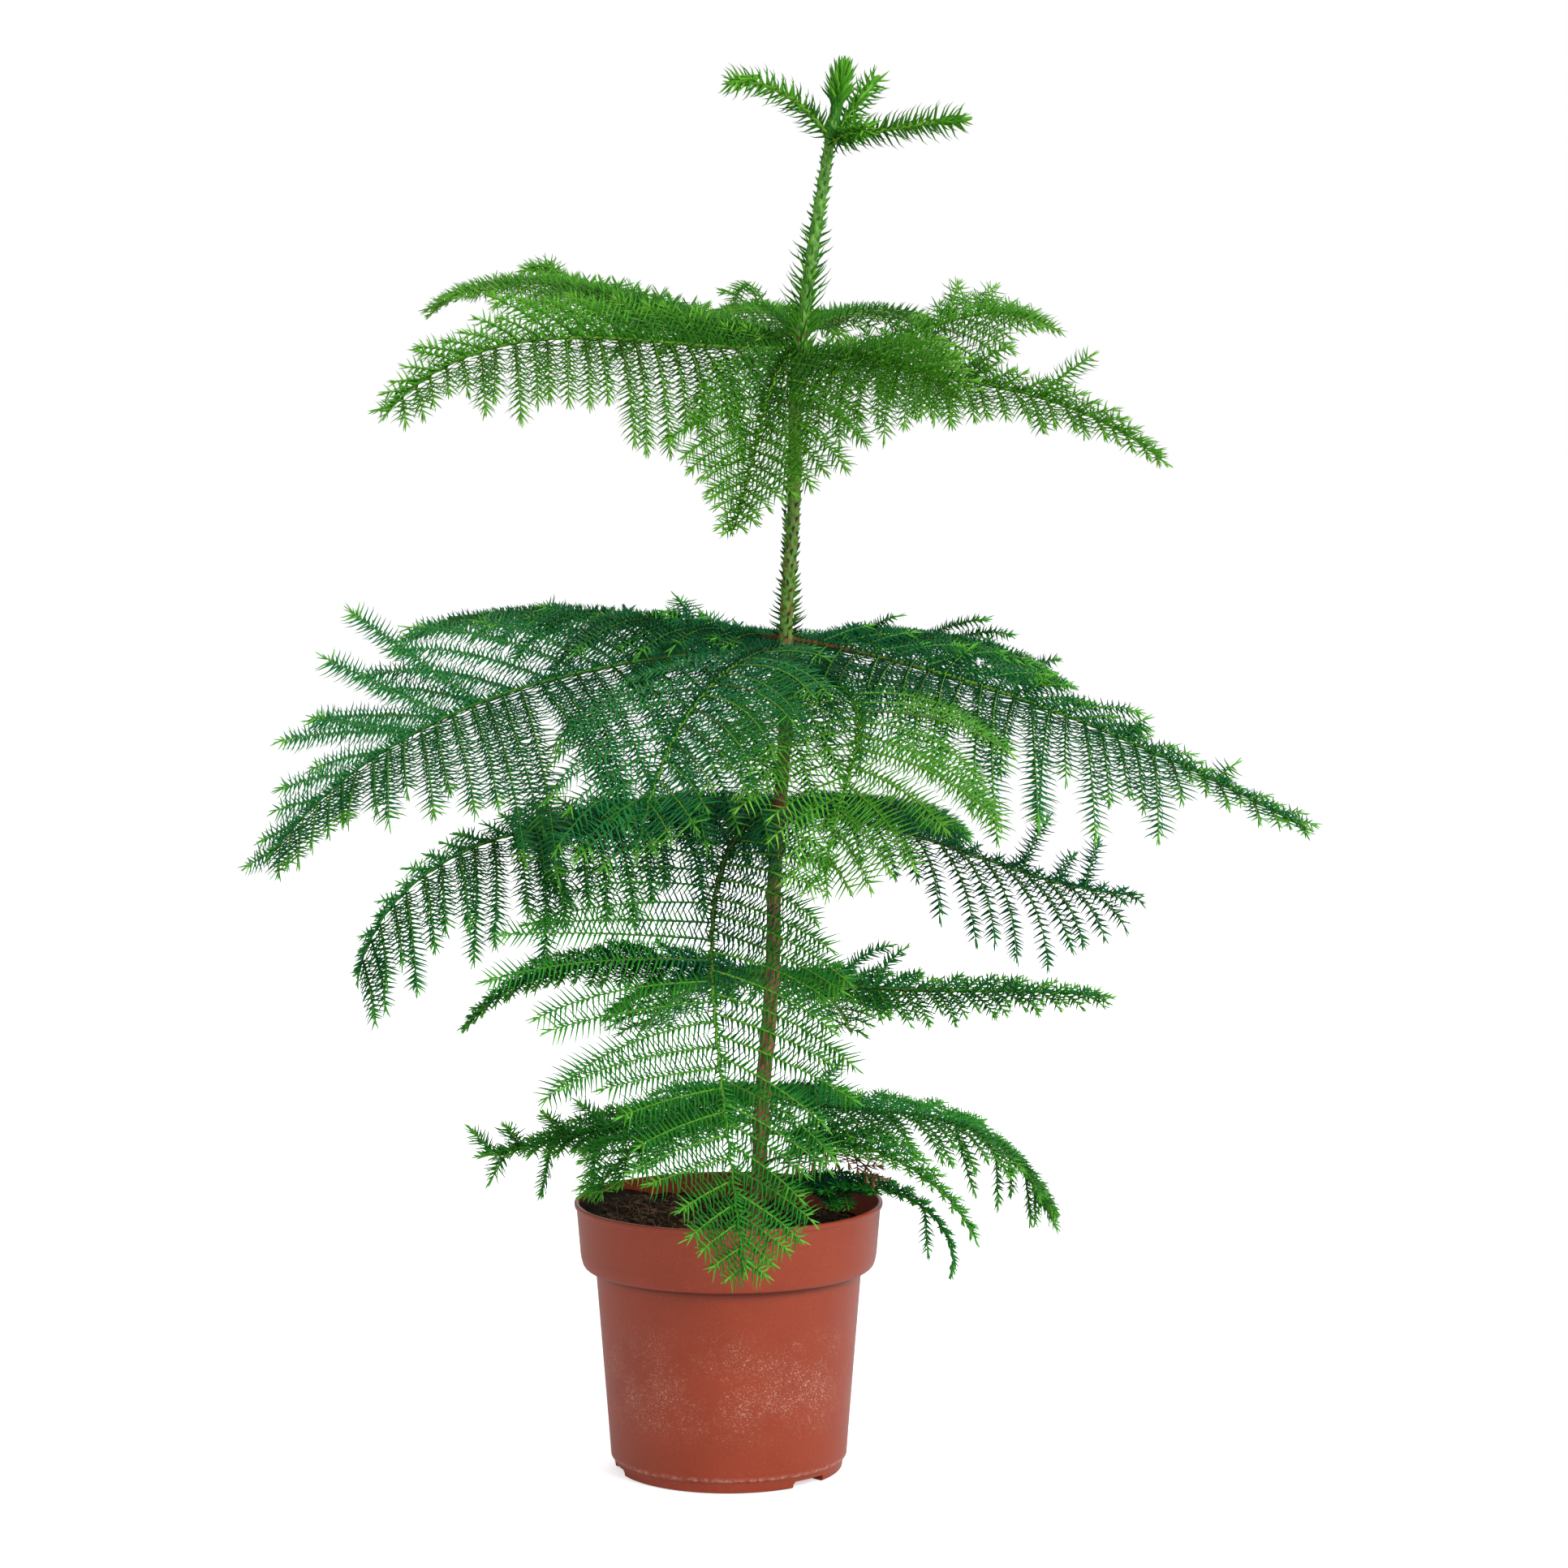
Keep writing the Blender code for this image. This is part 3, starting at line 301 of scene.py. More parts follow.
def bough_twigs(key):
    """Every lateral of a bough, as its share of the way out, its side, its line and the spray's upper side."""
    row = BOUGHS[key]
    space, length, roll = SPACES.get(key, TIERS[key[0]]["space"]), row[2], row[7]
    rng = random.Random(17 * list(BOUGHS).index(key) + 5)
    line = bough_line(row)
    shape = SHAPES.get(key, (PLAIN, PLAIN))
    twigs = []
    s, n = 0.022 / length, 0
    bare, beyond = SPARSE.get(key, (0, 1.0))
    while s * length < length - 0.010:
        n += 1
        for side in (-1, 1):
            if side == bare and n % 2 and s > beyond:
                continue
            at = min(0.985, s + (side > 0) * 0.5 * space / length + rng.uniform(-0.10, 0.10) * space / length)
            start, way, level = place(line, at)
            right, upper = side_frame(way, level, roll)
            form = shape[0] if side < 0 else shape[1]
            reach = (row[8] if side < 0 else row[9]) * spread(at, *form[:2]) * rng.uniform(UNEVEN.get(key, 0.76), 1.10)
            hang = row[10] if side < 0 else row[11]
            twig = lateral_line(start, way, right, upper, side, at, reach, hang, row[12], rng, form)
            twigs.append((at, side, twig, upper))
        s += space / length
    for at, side, reach, hang, lift, *angle in EXTRA.get(key, ()):
        start, way, level = place(line, at)
        right, upper = side_frame(way, level, roll)
        twig = stray_line(start, way, right, upper, side, reach, hang, lift, *angle)
        twigs.append((at, side, twig, upper))
    return twigs


def stray_line(start, way, right, upper, side, reach, curl, lift, angle=56.5):
    """A lateral that leaves the flat spray: it rises at the angle lift and curls towards the bough's tip."""
    a, b = math.radians(lift), math.radians(angle)
    d = unit(math.cos(a) * (math.cos(b) * way + math.sin(b) * side * right) + math.sin(a) * UP)
    count = max(5, round(reach / 0.004))
    points = [start]
    for j in range(count):
        points.append(points[-1] + d * reach / count)
        turn = math.radians(curl) / count
        d = unit(d * math.cos(turn) + unit(np.cross(d, right) * 0.8 + way * 0.6) * math.sin(turn))
    return np.array(points)


# ---------------------------------------------------------------- gathering and building meshes
class Needles:
    """Needles gathered for one joined piece."""

    def __init__(self):
        self.rows = []

    def add(self, feet, ways, towards, lengths, widths, colours):
        self.rows.append((feet, ways, towards, lengths, widths, colours))

    def build(self, name, palette, slot, replaced):
        feet, ways, towards, lengths, widths, colours = (np.concatenate([r[i] for r in self.rows]) for i in range(6))
        n = len(feet)
        bend = towards
        side = units(np.cross(ways, bend + 1e-6))
        back = units(np.cross(side, ways))           # away from the side that the needle curves to
        back *= np.where((back * bend).sum(1, keepdims=True) > 0, -1, 1)
        l, w = lengths[:, None], widths[:, None]
        middle = feet + l * 0.70 * units(ways + 0.20 * bend)
        tip = middle + l * 0.30 * units(ways + 0.95 * bend)
        verts = np.empty((n, 7, 3))
        verts[:, 0] = feet + side * w * 0.5
        verts[:, 1] = feet + back * w * 0.75 - units(bend) * w * 0.9
        verts[:, 2] = feet - side * w * 0.5
        verts[:, 3] = middle + side * w * 0.42
        verts[:, 4] = middle + back * w * 0.50
        verts[:, 5] = middle - side * w * 0.42
        verts[:, 6] = tip
        tris = np.array([(0, 1, 4), (0, 4, 3), (1, 2, 5), (1, 5, 4), (3, 4, 6), (4, 5, 6)])
        faces = (np.arange(n)[:, None, None] * 7 + tris[None]).reshape(-1, 3)
        used = sorted(set(colours.tolist()))
        index = np.array([used.index(c) for c in colours.tolist()])
        return make_piece(name, verts.reshape(-1, 3), faces, [palette[ORDER[c]] for c in used], np.repeat(index, 6),
                          replaced)


class Tubes:
    """Tapering tubes gathered for one joined piece."""

    def __init__(self):
        self.verts, self.faces, self.colours, self.count = [], [], [], 0

    def add(self, line, radii, sides, upper, colours, pinch=None, cap=True):
        n = len(line)
        ways = units(np.gradient(line, axis=0))
        side = units(np.cross(ways, upper))
        other = np.cross(side, ways)
        a = 2 * math.pi * np.arange(sides) / sides
        ring = np.cos(a)[None, :, None] * side[:, None] + np.sin(a)[None, :, None] * other[:, None]
        r = np.asarray(radii)[:, None, None] * (1.0 if pinch is None else pinch[:, :, None])
        verts = (line[:, None] + ring * r).reshape(-1, 3)
        i = np.arange(n - 1)[:, None] * sides
        k = np.arange(sides)[None]
        m = (k + 1) % sides
        low, lown = i + k, i + m
        faces = np.concatenate([
            np.stack([low, low + sides, lown + sides], -1).reshape(-1, 3),
            np.stack([low, lown + sides, lown], -1).reshape(-1, 3)])
        shade = np.repeat(np.asarray(colours)[:-1], sides)
        shade = np.concatenate([shade, shade])
        if cap:
            verts = np.vstack([verts, line[:1] - ways[:1] * radii[0] * 0.3, line[-1:] + ways[-1:] * radii[-1]])
            base, top, last = n * sides, n * sides + 1, (n - 1) * sides
            kk = np.arange(sides)
            mm = (kk + 1) % sides
            faces = np.concatenate([faces, np.stack([np.full(sides, base), kk, mm], 1),
                                    np.stack([np.full(sides, top), last + mm, last + kk], 1)])
            shade = np.concatenate([shade, np.full(sides, colours[0]), np.full(sides, colours[-1])])
        self.verts.append(verts)
        self.faces.append(faces + self.count)
        self.colours.append(shade)
        self.count += len(verts)

    def build(self, name, palette, slot, replaced):
        colours = np.concatenate(self.colours)
        used = sorted(set(colours.tolist()))
        index = np.array([used.index(c) for c in colours.tolist()])
        return make_piece(name, np.concatenate(self.verts), np.concatenate(self.faces),
                          [palette[ORDER[c]] for c in used], index, replaced)


def make_piece(name, verts, faces, materials, index, replaced, smooth=True):
    mesh = bpy.data.meshes.new(name)
    mesh.vertices.add(len(verts))
    mesh.vertices.foreach_set("co", np.ascontiguousarray(verts, np.float32).ravel())
    mesh.loops.add(len(faces) * 3)
    mesh.loops.foreach_set("vertex_index", np.ascontiguousarray(faces, np.int32).ravel())
    mesh.polygons.add(len(faces))
    mesh.polygons.foreach_set("loop_start", np.arange(0, len(faces) * 3, 3, dtype=np.int32))
    for material in materials:
        mesh.materials.append(material)
    if index is not None:
        mesh.polygons.foreach_set("material_index", np.ascontiguousarray(index, np.int32))
    mesh.update(calc_edges=True)
    mesh.validate()
    if smooth:
        mesh.shade_smooth()
    obj = bpy.data.objects.new(name, mesh)
    bpy.context.scene.collection.objects.link(obj)
    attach(obj, "root")
    if replaced:
        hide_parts(*replaced)
    print(f"{name}: {len(faces)} triangles")
    return obj


# ---------------------------------------------------------------- materials
def principled(name, colour, roughness, **sockets):
    material = bpy.data.materials.new(name)
    material.use_nodes = True
    shader = material.node_tree.nodes["Principled BSDF"]
    shader.inputs["Base Color"].default_value = (*colour, 1.0)
    shader.inputs["Roughness"].default_value = roughness
    for key, value in sockets.items():
        shader.inputs[key.replace("_", " ")].default_value = value
    return material


def mix_colours(tree, factor, a, b, blend="MIX"):
    node = tree.nodes.new("ShaderNodeMix")
    node.data_type = "RGBA"
    node.blend_type = blend
    for socket, value in ((node.inputs[0], factor), (node.inputs[6], a), (node.inputs[7], b)):
        if isinstance(value, tuple):
            socket.default_value = (*value, 1.0)
        elif isinstance(value, float):
            socket.default_value = value
        else:
            tree.links.new(value, socket)
    return node.outputs[2]


def noise_of(tree, vector, scale, detail=4.0, rough=0.5, distortion=0.0):
    node = tree.nodes.new("ShaderNodeTexNoise")
    node.inputs["Scale"].default_value = scale
    node.inputs["Detail"].default_value = detail
    node.inputs["Roughness"].default_value = rough
    node.inputs["Distortion"].default_value = distortion
    tree.links.new(vector, node.inputs["Vector"])
    return node.outputs["Fac"]


def ramp(tree, value, low, high, a=0.0, b=1.0):
    node = tree.nodes.new("ShaderNodeMapRange")
    node.inputs["From Min"].default_value = low
    node.inputs["From Max"].default_value = high
    node.inputs["To Min"].default_value = a
    node.inputs["To Max"].default_value = b
    tree.links.new(value, node.inputs["Value"])
    return node.outputs["Result"]


def maths(tree, operation, a, b):
    node = tree.nodes.new("ShaderNodeMath")
    node.operation = operation
    for socket, value in ((node.inputs[0], a), (node.inputs[1], b)):
        if isinstance(value, float):
            socket.default_value = value
        else:
            tree.links.new(value, socket)
    return node.outputs[0]


def stretched(tree, scale):
    coords = tree.nodes.new("ShaderNodeTexCoord")
    mapping = tree.nodes.new("ShaderNodeMapping")
    mapping.inputs["Scale"].default_value = scale
    tree.links.new(coords.outputs["Object"], mapping.inputs["Vector"])
    return mapping.outputs["Vector"]


def bump_of(tree, height, strength, distance):
    node = tree.nodes.new("ShaderNodeBump")
    node.inputs["Strength"].default_value = strength
    node.inputs["Distance"].default_value = distance
    tree.links.new(height, node.inputs["Height"])
    return node.outputs["Normal"]


def pot_material():
    """Satin moulded plastic: slightly mottled, with faint dust specks, scuffs and drying marks half way down, and a
    painted shadow under the band.
    """
    material = principled("terracotta_plastic", (0.33, 0.046, 0.016), 0.42, Specular_IOR_Level=0.34)
    tree = material.node_tree
    shader = tree.nodes["Principled BSDF"]
    here = stretched(tree, (1, 1, 1))
    mottle = noise_of(tree, here, 22, 5, 0.6)
    colour = mix_colours(tree, ramp(tree, mottle, 0.3, 0.7), (0.300, 0.040, 0.013), (0.345, 0.050, 0.018))
    height = tree.nodes.new("ShaderNodeSeparateXYZ")
    tree.links.new(here, height.inputs[0])
    z = height.outputs["Z"]
    # dust lies thickest in a broad band below the middle of the body, and sparsely elsewhere
    band = maths(tree, "MULTIPLY", ramp(tree, z, 0.030, 0.062), ramp(tree, z, 0.115, 0.080))
    patch = ramp(tree, noise_of(tree, here, 30, 4, 0.7), 0.42, 0.66)
    dusty = maths(tree, "ADD", maths(tree, "MULTIPLY", band, patch), 0.07)
    specks = ramp(tree, noise_of(tree, here, 1100, 2, 0.6), 0.60, 0.66)
    flecks = ramp(tree, noise_of(tree, here, 480, 3, 0.7), 0.62, 0.68)
    scratch = ramp(tree, noise_of(tree, stretched(tree, (260, 260, 1500)), 1.0, 2, 0.5, 0.6), 0.64, 0.70)
    marks = maths(tree, "MAXIMUM", maths(tree, "MAXIMUM", specks, flecks), maths(tree, "MULTIPLY", scratch, 0.6))
    bloom = maths(tree, "MULTIPLY", dusty, 0.035)
    amount = maths(tree, "MINIMUM", maths(tree, "ADD", maths(tree, "MULTIPLY", marks, dusty), bloom), 1.0)
    colour = mix_colours(tree, maths(tree, "MULTIPLY", amount, 0.80), colour, (0.80, 0.50, 0.40))
    # painted shadow in the corner under the band, dust lying on the ledge of the foot
    corner = maths(tree, "MULTIPLY", ramp(tree, z, BAND_LOW - 0.0050, BAND_LOW - 0.0004), ramp(tree, z, BAND_LOW + 0.0030, BAND_LOW + 0.0012))
    # the near-black mixed in here is painted shadow under the band, not dirt
    colour = mix_colours(tree, maths(tree, "MULTIPLY", maths(tree, "MULTIPLY", corner, corner), 0.80), colour, (0.060, 0.010, 0.005))
    ledge = maths(tree, "MULTIPLY", ramp(tree, z, LEDGE_HEIGHT - 0.0016, LEDGE_HEIGHT - 0.0002), ramp(tree, z, LEDGE_HEIGHT + 0.0030, LEDGE_HEIGHT + 0.0006))
    grit = ramp(tree, noise_of(tree, here, 300, 3, 0.7), 0.40, 0.62)
    colour = mix_colours(tree, maths(tree, "MULTIPLY", maths(tree, "MULTIPLY", ledge, grit), 0.55), colour, (0.62, 0.34, 0.27))
    tree.links.new(colour, shader.inputs["Base Color"])
    tree.links.new(ramp(tree, maths(tree, "ADD", mottle, amount), 0.3, 1.5, 0.36, 0.62), shader.inputs["Roughness"])
    grain = noise_of(tree, here, 900, 3, 0.6)
    waves = noise_of(tree, stretched(tree, (9, 9, 60)), 1.0, 2, 0.5)
    both = maths(tree, "ADD", maths(tree, "MULTIPLY", grain, 0.25), waves)
    tree.links.new(bump_of(tree, both, 0.16, 0.0006), shader.inputs["Normal"])
    return material


def soil_material():
    material = principled("potting_mix", (0.022, 0.012, 0.006), 0.95, Specular_IOR_Level=0.08)
    tree = material.node_tree
    shader = tree.nodes["Principled BSDF"]
    here = stretched(tree, (1, 1, 1))
    crumbs = noise_of(tree, here, 260, 6, 0.65)
    colour = mix_colours(tree, ramp(tree, crumbs, 0.35, 0.68), (0.005, 0.003, 0.0015), (0.032, 0.016, 0.007))
    fibre = ramp(tree, noise_of(tree, here, 900, 3, 0.6, 0.8), 0.62, 0.72)
    colour = mix_colours(tree, maths(tree, "MULTIPLY", fibre, 0.6), colour, (0.095, 0.048, 0.021))
    tree.links.new(colour, shader.inputs["Base Color"])
    tree.links.new(bump_of(tree, crumbs, 0.9, 0.002), shader.inputs["Normal"])
    return material


def bark_material():
    """Red-brown flaking bark low down, mottled olive and orange above the second whorl, fresh green at the top."""
    material = principled("stem_bark", (0.13, 0.085, 0.035), 0.75)
    tree = material.node_tree
    shader = tree.nodes["Principled BSDF"]
    here = stretched(tree, (1, 1, 1))
    split = tree.nodes.new("ShaderNodeSeparateXYZ")
    tree.links.new(here, split.inputs[0])
    z = split.outputs["Z"]
    flakes = noise_of(tree, stretched(tree, (420, 420, 130)), 1.0, 4, 0.6)
    fine = noise_of(tree, stretched(tree, (1500, 1500, 500)), 1.0, 3, 0.6)
    brown = mix_colours(tree, ramp(tree, flakes, 0.36, 0.64), (0.086, 0.024, 0.013), (0.360, 0.118, 0.064))
    brown = mix_colours(tree, ramp(tree, fine, 0.55, 0.75, 0.0, 0.6), brown, (0.380, 0.180, 0.110))
    patches = noise_of(tree, stretched(tree, (300, 300, 170)), 1.0, 3, 0.55)
    olive = mix_colours(tree, ramp(tree, patches, 0.36, 0.52), (0.190, 0.080, 0.028), (0.130, 0.270, 0.036))
    green = mix_colours(tree, ramp(tree, patches, 0.42, 0.60), (0.036, 0.170, 0.015), (0.165, 0.400, 0.046))
    green = mix_colours(tree, ramp(tree, fine, 0.54, 0.70, 0.0, 0.5), green, (0.260, 0.500, 0.085))
    sway = maths(tree, "MULTIPLY", maths(tree, "SUBTRACT", patches, 0.5), 0.14)
    height = maths(tree, "ADD", z, sway)
    colour = mix_colours(tree, ramp(tree, height, 0.500, 0.560), brown, olive)
    colour = mix_colours(tree, ramp(tree, height, 0.735, 0.775), colour, green)
    tree.links.new(colour, shader.inputs["Base Color"])
    tree.links.new(ramp(tree, z, 0.5, 0.8, 0.82, 0.5), shader.inputs["Roughness"])
    tree.links.new(bump_of(tree, maths(tree, "ADD", flakes, fine), 0.5, 0.0006), shader.inputs["Normal"])
    return material


ORDER = list(GREENS)
INDEX = {key: i for i, key in enumerate(ORDER)}
PALETTE = {}
for key, colour in GREENS.items():
    rough = 0.70 if key.startswith(("dead", "rib_")) else 0.46
    PALETTE[key] = principled(f"green_{key}", colour, rough, Specular_IOR_Level=0.16)


# ---------------------------------------------------------------- needles along a twig
def along(line, at):
    """Points and directions at distances along a line."""
    steps = np.linalg.norm(np.diff(line, axis=0), axis=1)
    s = np.concatenate([[0.0], np.cumsum(steps)])
    ways = np.gradient(line, axis=0)
    points = np.stack([np.interp(at, s, line[:, i]) for i in range(3)], 1)
    return points, units(np.stack([np.interp(at, s, ways[:, i]) for i in range(3)], 1))


def line_length(line):
    return float(np.linalg.norm(np.diff(line, axis=0), axis=1).sum())


def carried(line, upper, at):
    """The spray's upper side carried along a line, so that it turns over with the line where the line hangs."""
    steps = np.linalg.norm(np.diff(line, axis=0), axis=1)
    s = np.concatenate([[0.0], np.cumsum(steps)])
    ways = units(np.gradient(line, axis=0))
    rows = np.empty_like(line)
    u = np.asarray(upper, float)
    for i, w in enumerate(ways):
        u = u - u.dot(w) * w
        u = u / max(float(np.linalg.norm(u)), 1e-9)
        rows[i] = u
    return units(np.stack([np.interp(at, s, rows[:, i]) for i in range(3)], 1))


def dress(store, line, upper, look, dealt, rng, first=0.002, radius=0.0006, shares=(0.0, 1.0), tuft=True, dense=1.0,
          size=1.0, tip_from=0.86):
    """Ranks of needles along one twig and a tuft at its tip. The colour goes from inner to outer to tip."""
    total = line_length(line)
    inner, outer, tips = (INDEX[c] for c in dealt)
    pitch = look["pitch"] / dense
    for r, (turn, share) in enumerate(look["ranks"]):
        count = int((total - first) / pitch)
        if count < 1:
            continue
        at = first + (np.arange(count) + (r * 0.37) % 1.0 + rng.uniform(-0.18, 0.18, count)) * pitch
        at = at[(at > 0) & (at < total - 0.0005)]
        if not len(at):
            continue
        n = len(at)
        feet, ways = along(line, at)
        right = units(np.cross(ways, carried(line, upper, at)))
        over = np.cross(right, ways)
        phi = np.radians(turn + rng.normal(0, look.get("loose", 7), n))[:, None]
        out = np.cos(phi) * over + np.sin(phi) * right
        along_share = at / total
        angle = np.radians(look["angle"] + rng.normal(0, 0.6 * look.get("loose", 7), n) - 16 * np.clip((along_share - 0.7) / 0.3, 0, 1))[:, None]
        d = np.cos(angle) * ways + np.sin(angle) * out
        grown = 0.72 + 0.28 * np.clip(at / 0.012, 0, 1) - 0.42 * np.clip((at - total + 0.010) / 0.010, 0, 1)
        lengths = look["length"] * size * share * grown * rng.uniform(0.82, 1.18, n)
        widths = look["width"] * rng.uniform(0.88, 1.15, n) * np.where(along_share > tip_from, 1.12, 1.0)
        where = shares[0] + (shares[1] - shares[0]) * along_share + rng.normal(0, 0.10, n)
        colours = np.where(where < 0.45, inner, outer)
        colours = np.where((total - at < 0.009 + 0.004 * rng.uniform(-1, 1, n)) & (rng.uniform(0, 1, n) < 0.8), tips, colours)
        store.add(feet + out * radius * 0.6, d, ways * look["bend"], lengths, widths, colours)
    if tuft:
        n = look.get("tuft", 6)
        end = line[-1]
        way = unit(line[-1] - line[-2])
        right = unit(np.cross(way, upper))
        over = np.cross(right, way)
        phi = (np.arange(n) * 2.39996 + rng.uniform(0, 6))[:, None]
        angle = np.radians(rng.uniform(6, 30, n))[:, None]
        out = np.cos(phi) * over + np.sin(phi) * right
        d = np.cos(angle) * way + np.sin(angle) * out
        feet = end - way * rng.uniform(0.0, 0.0035, n)[:, None]
        store.add(feet, d, np.repeat(way[None], n, 0) * 0.3, look["length"] * size * rng.uniform(0.45, 0.70, n),
                  look["width"] * rng.uniform(1.05, 1.35, n), np.full(n, tips))


def rib(tubes, line, upper, radii, sides, colours, rng, knob=0.16, zigzag=0.0, step=0.0032):
    """A twig's own rib, knobbed by the feet of its needles."""
    total = line_length(line)
    count = max(4, int(total / step))
    at = np.linspace(0, total, count)
    points, ways = along(line, at)
    right = units(np.cross(ways, upper))
    swing = np.where(np.arange(count) % 2 == 0, 1.0, -1.0) * zigzag
    points = points + right * swing[:, None]
    share = at / total
    r = np.interp(share, (0, 1), radii) * (1 + knob * np.where(np.arange(count) % 2 == 0, 1, -1) * rng.uniform(0.4, 1.0, count))
    shade = np.array([INDEX[colours[min(len(colours) - 1, int(s * len(colours)))]] for s in share])
    tubes.add(points, r, sides, upper, shade)


# ---------------------------------------------------------------- growing the boughs
def grow_bough(key, store, twigs, limbs):
    row = BOUGHS[key]
    tier = key[0]
    look = TIERS[tier]
    dealt = DEALT.get(key, DEALT[tier])
    nrng = np.random.default_rng(17 * list(BOUGHS).index(key) + 5)
    length, roll = row[2], row[7]
    line = bough_line(row)
    points = line[0].copy()
    # the limb swings a little from side to side, as it does at each pair of laterals
    share = np.linspace(0, 1, STEPS + 1)
    sway = 0.0009 * np.sin(share * length / 0.0075 * math.pi) * np.clip(share * 6, 0, 1)
    points[:-1] += line[2] * sway[:-1, None]
    _, trunk_radius = trunk_at(row[0])
    first = np.searchsorted(np.linalg.norm(points - points[0], axis=1), trunk_radius * 0.6)
    limb = points[max(0, first - 1):]
    right, upper = side_frame(line[1][STEPS // 2], line[2][STEPS // 2], roll)
    size = NEEDLE_SIZE.get(key, 1.0)
    foot_radius = {"a": 0.0017, "b": 0.0018, "c": 0.0018, "d": 0.0017, "e": 0.0016}[tier]
    foot = {"a": ("rib", "rib", "rib"), "b": ("rib_brown", "rib_old", "rib", "rib", "rib", "rib", "rib", "rib"),
            "c": ("rib_old", "rib_old", "rib_old", "rib", "rib", "rib"),
            "d": ("rib_old", "rib_old", "rib", "rib"), "e": ("rib_old", "rib", "rib")}[tier]
    rib(limbs, limb, np.array((0.0, 0.0, 1.0)) if abs(line[1][STEPS // 2][2]) < 0.8 else line[2][0],
        (foot_radius, 0.0007), 6, foot, nrng, knob=0.14, zigzag=0.0003, step=0.0024)
    # needles on the limb itself
    look = dict(look, pitch=look["pitch"] / OPEN.get(key, 1.0), ranks=RANKS.get(key, look["ranks"]))
    limb_look = dict(look, ranks=LIMB_RANKS[tier], length=look["length"] * 0.85)
    dress(store, limb, upper, limb_look, dealt, nrng, first=0.008, radius=foot_radius * 0.6, tip_from=0.97, size=size)
    for at, side, twig, upper in bough_twigs(key):
        reach = line_length(twig)
        rib(twigs, twig, upper, (0.00085, 0.00040), 3, ("rib", "rib") if nrng.random() < 0.75 else ("rib_old", "rib"),
            nrng, knob=0.20, zigzag=0.00015)
        here = (at - 0.12) * 0.9
        dress(store, twig, upper, look, dealt, nrng, first=0.0025, radius=0.0006,
              shares=(here, here + 0.35 + 0.4 * reach / 0.1), size=size)
    return line


# ---------------------------------------------------------------- top whorl, leader and trunk
def grow_top(store, twigs):
    look = dict(length=0.0138, width=0.00128, angle=78, bend=0.72, pitch=0.0048, loose=9,
                ranks=tuple((k * 51.43 + 30, 1.0) for k in range(7)))
    dealt = ("top_deep", "top", "top_tip")
    for n, (key, row) in enumerate(SHOOTS.items()):
        nrng = np.random.default_rng(900 + n)
        line = bough_line(row)
        shoot = line[0]
        rib(twigs, shoot, UP if abs(line[1][0][2]) < 0.9 else line[2][0], (0.0021, 0.0011), 6, ("rib", "rib"), nrng)
        dress(store, shoot, UP, look, dealt, nrng, first=0.004, radius=0.0012, shares=(0.1, 1.0), tuft=False)
        # thick young needles closed round the tip
        count = 34
        way = line[1][-1]
        right = unit(np.cross(way, UP))
        over = np.cross(right, way)
        phi = (np.arange(count) * 2.39996)[:, None]
        out = np.cos(phi) * over + np.sin(phi) * right
        back = (np.arange(count) / count)[:, None]
        angle = np.radians(4 + 20 * back)
        d = np.cos(angle) * way + np.sin(angle) * out
        feet = shoot[-1] - way * (0.001 + 0.014 * back) - way * 0.009
        store.add(feet, d, np.repeat(way[None], count, 0) * 0.35, nrng.uniform(0.0100, 0.0125, count),
                  nrng.uniform(0.0015, 0.0019, count), np.where(nrng.uniform(0, 1, count) < 0.35, INDEX["top_tip"], INDEX["top"]))
    # leader: a club of needles that stand up round the trunk's tip
    nrng = np.random.default_rng(950)
    count = 96
    t = np.linspace(0, 1, count)
    z = 0.9080 + 0.0345 * t**0.85
    centre = np.stack([np.array([trunk_at(h)[0] for h in z]), np.zeros(count), z], 1)
    phi = np.arange(count) * 2.39996
    out = np.stack([np.cos(phi), np.sin(phi), np.zeros(count)], 1)
    lean = unit(np.array((0.0050, 0.0, 0.0330)))
    angle = np.radians(np.interp(t, (0, 0.30, 0.42, 0.62, 0.85, 1.0), (20, 34, 56, 46, 26, 5)) + nrng.normal(0, 4, count))[:, None]
    d = np.cos(angle) * lean + np.sin(angle) * out
    lengths = np.interp(t, (0, 0.26, 0.40, 0.60, 0.85, 1.0), (0.0030, 0.0044, 0.0132, 0.0146, 0.0150, 0.0112)) * nrng.uniform(0.88, 1.08, count)
    top = LEADER_TOP
    lengths = np.minimum(lengths, (top - centre[:, 2]) / np.maximum(d[:, 2], 0.2))
    colours = np.where(t < 0.4, INDEX["top_deep"], np.where(nrng.uniform(0, 1, count) < 0.28, INDEX["top_tip"], INDEX["top"]))
    radius = np.array([trunk_at(h)[1] for h in z])[:, None]
    store.add(centre + out * radius * 0.8, d, np.repeat(lean[None], count, 0) * 0.30, lengths,
              nrng.uniform(0.0017, 0.0022, count), colours)


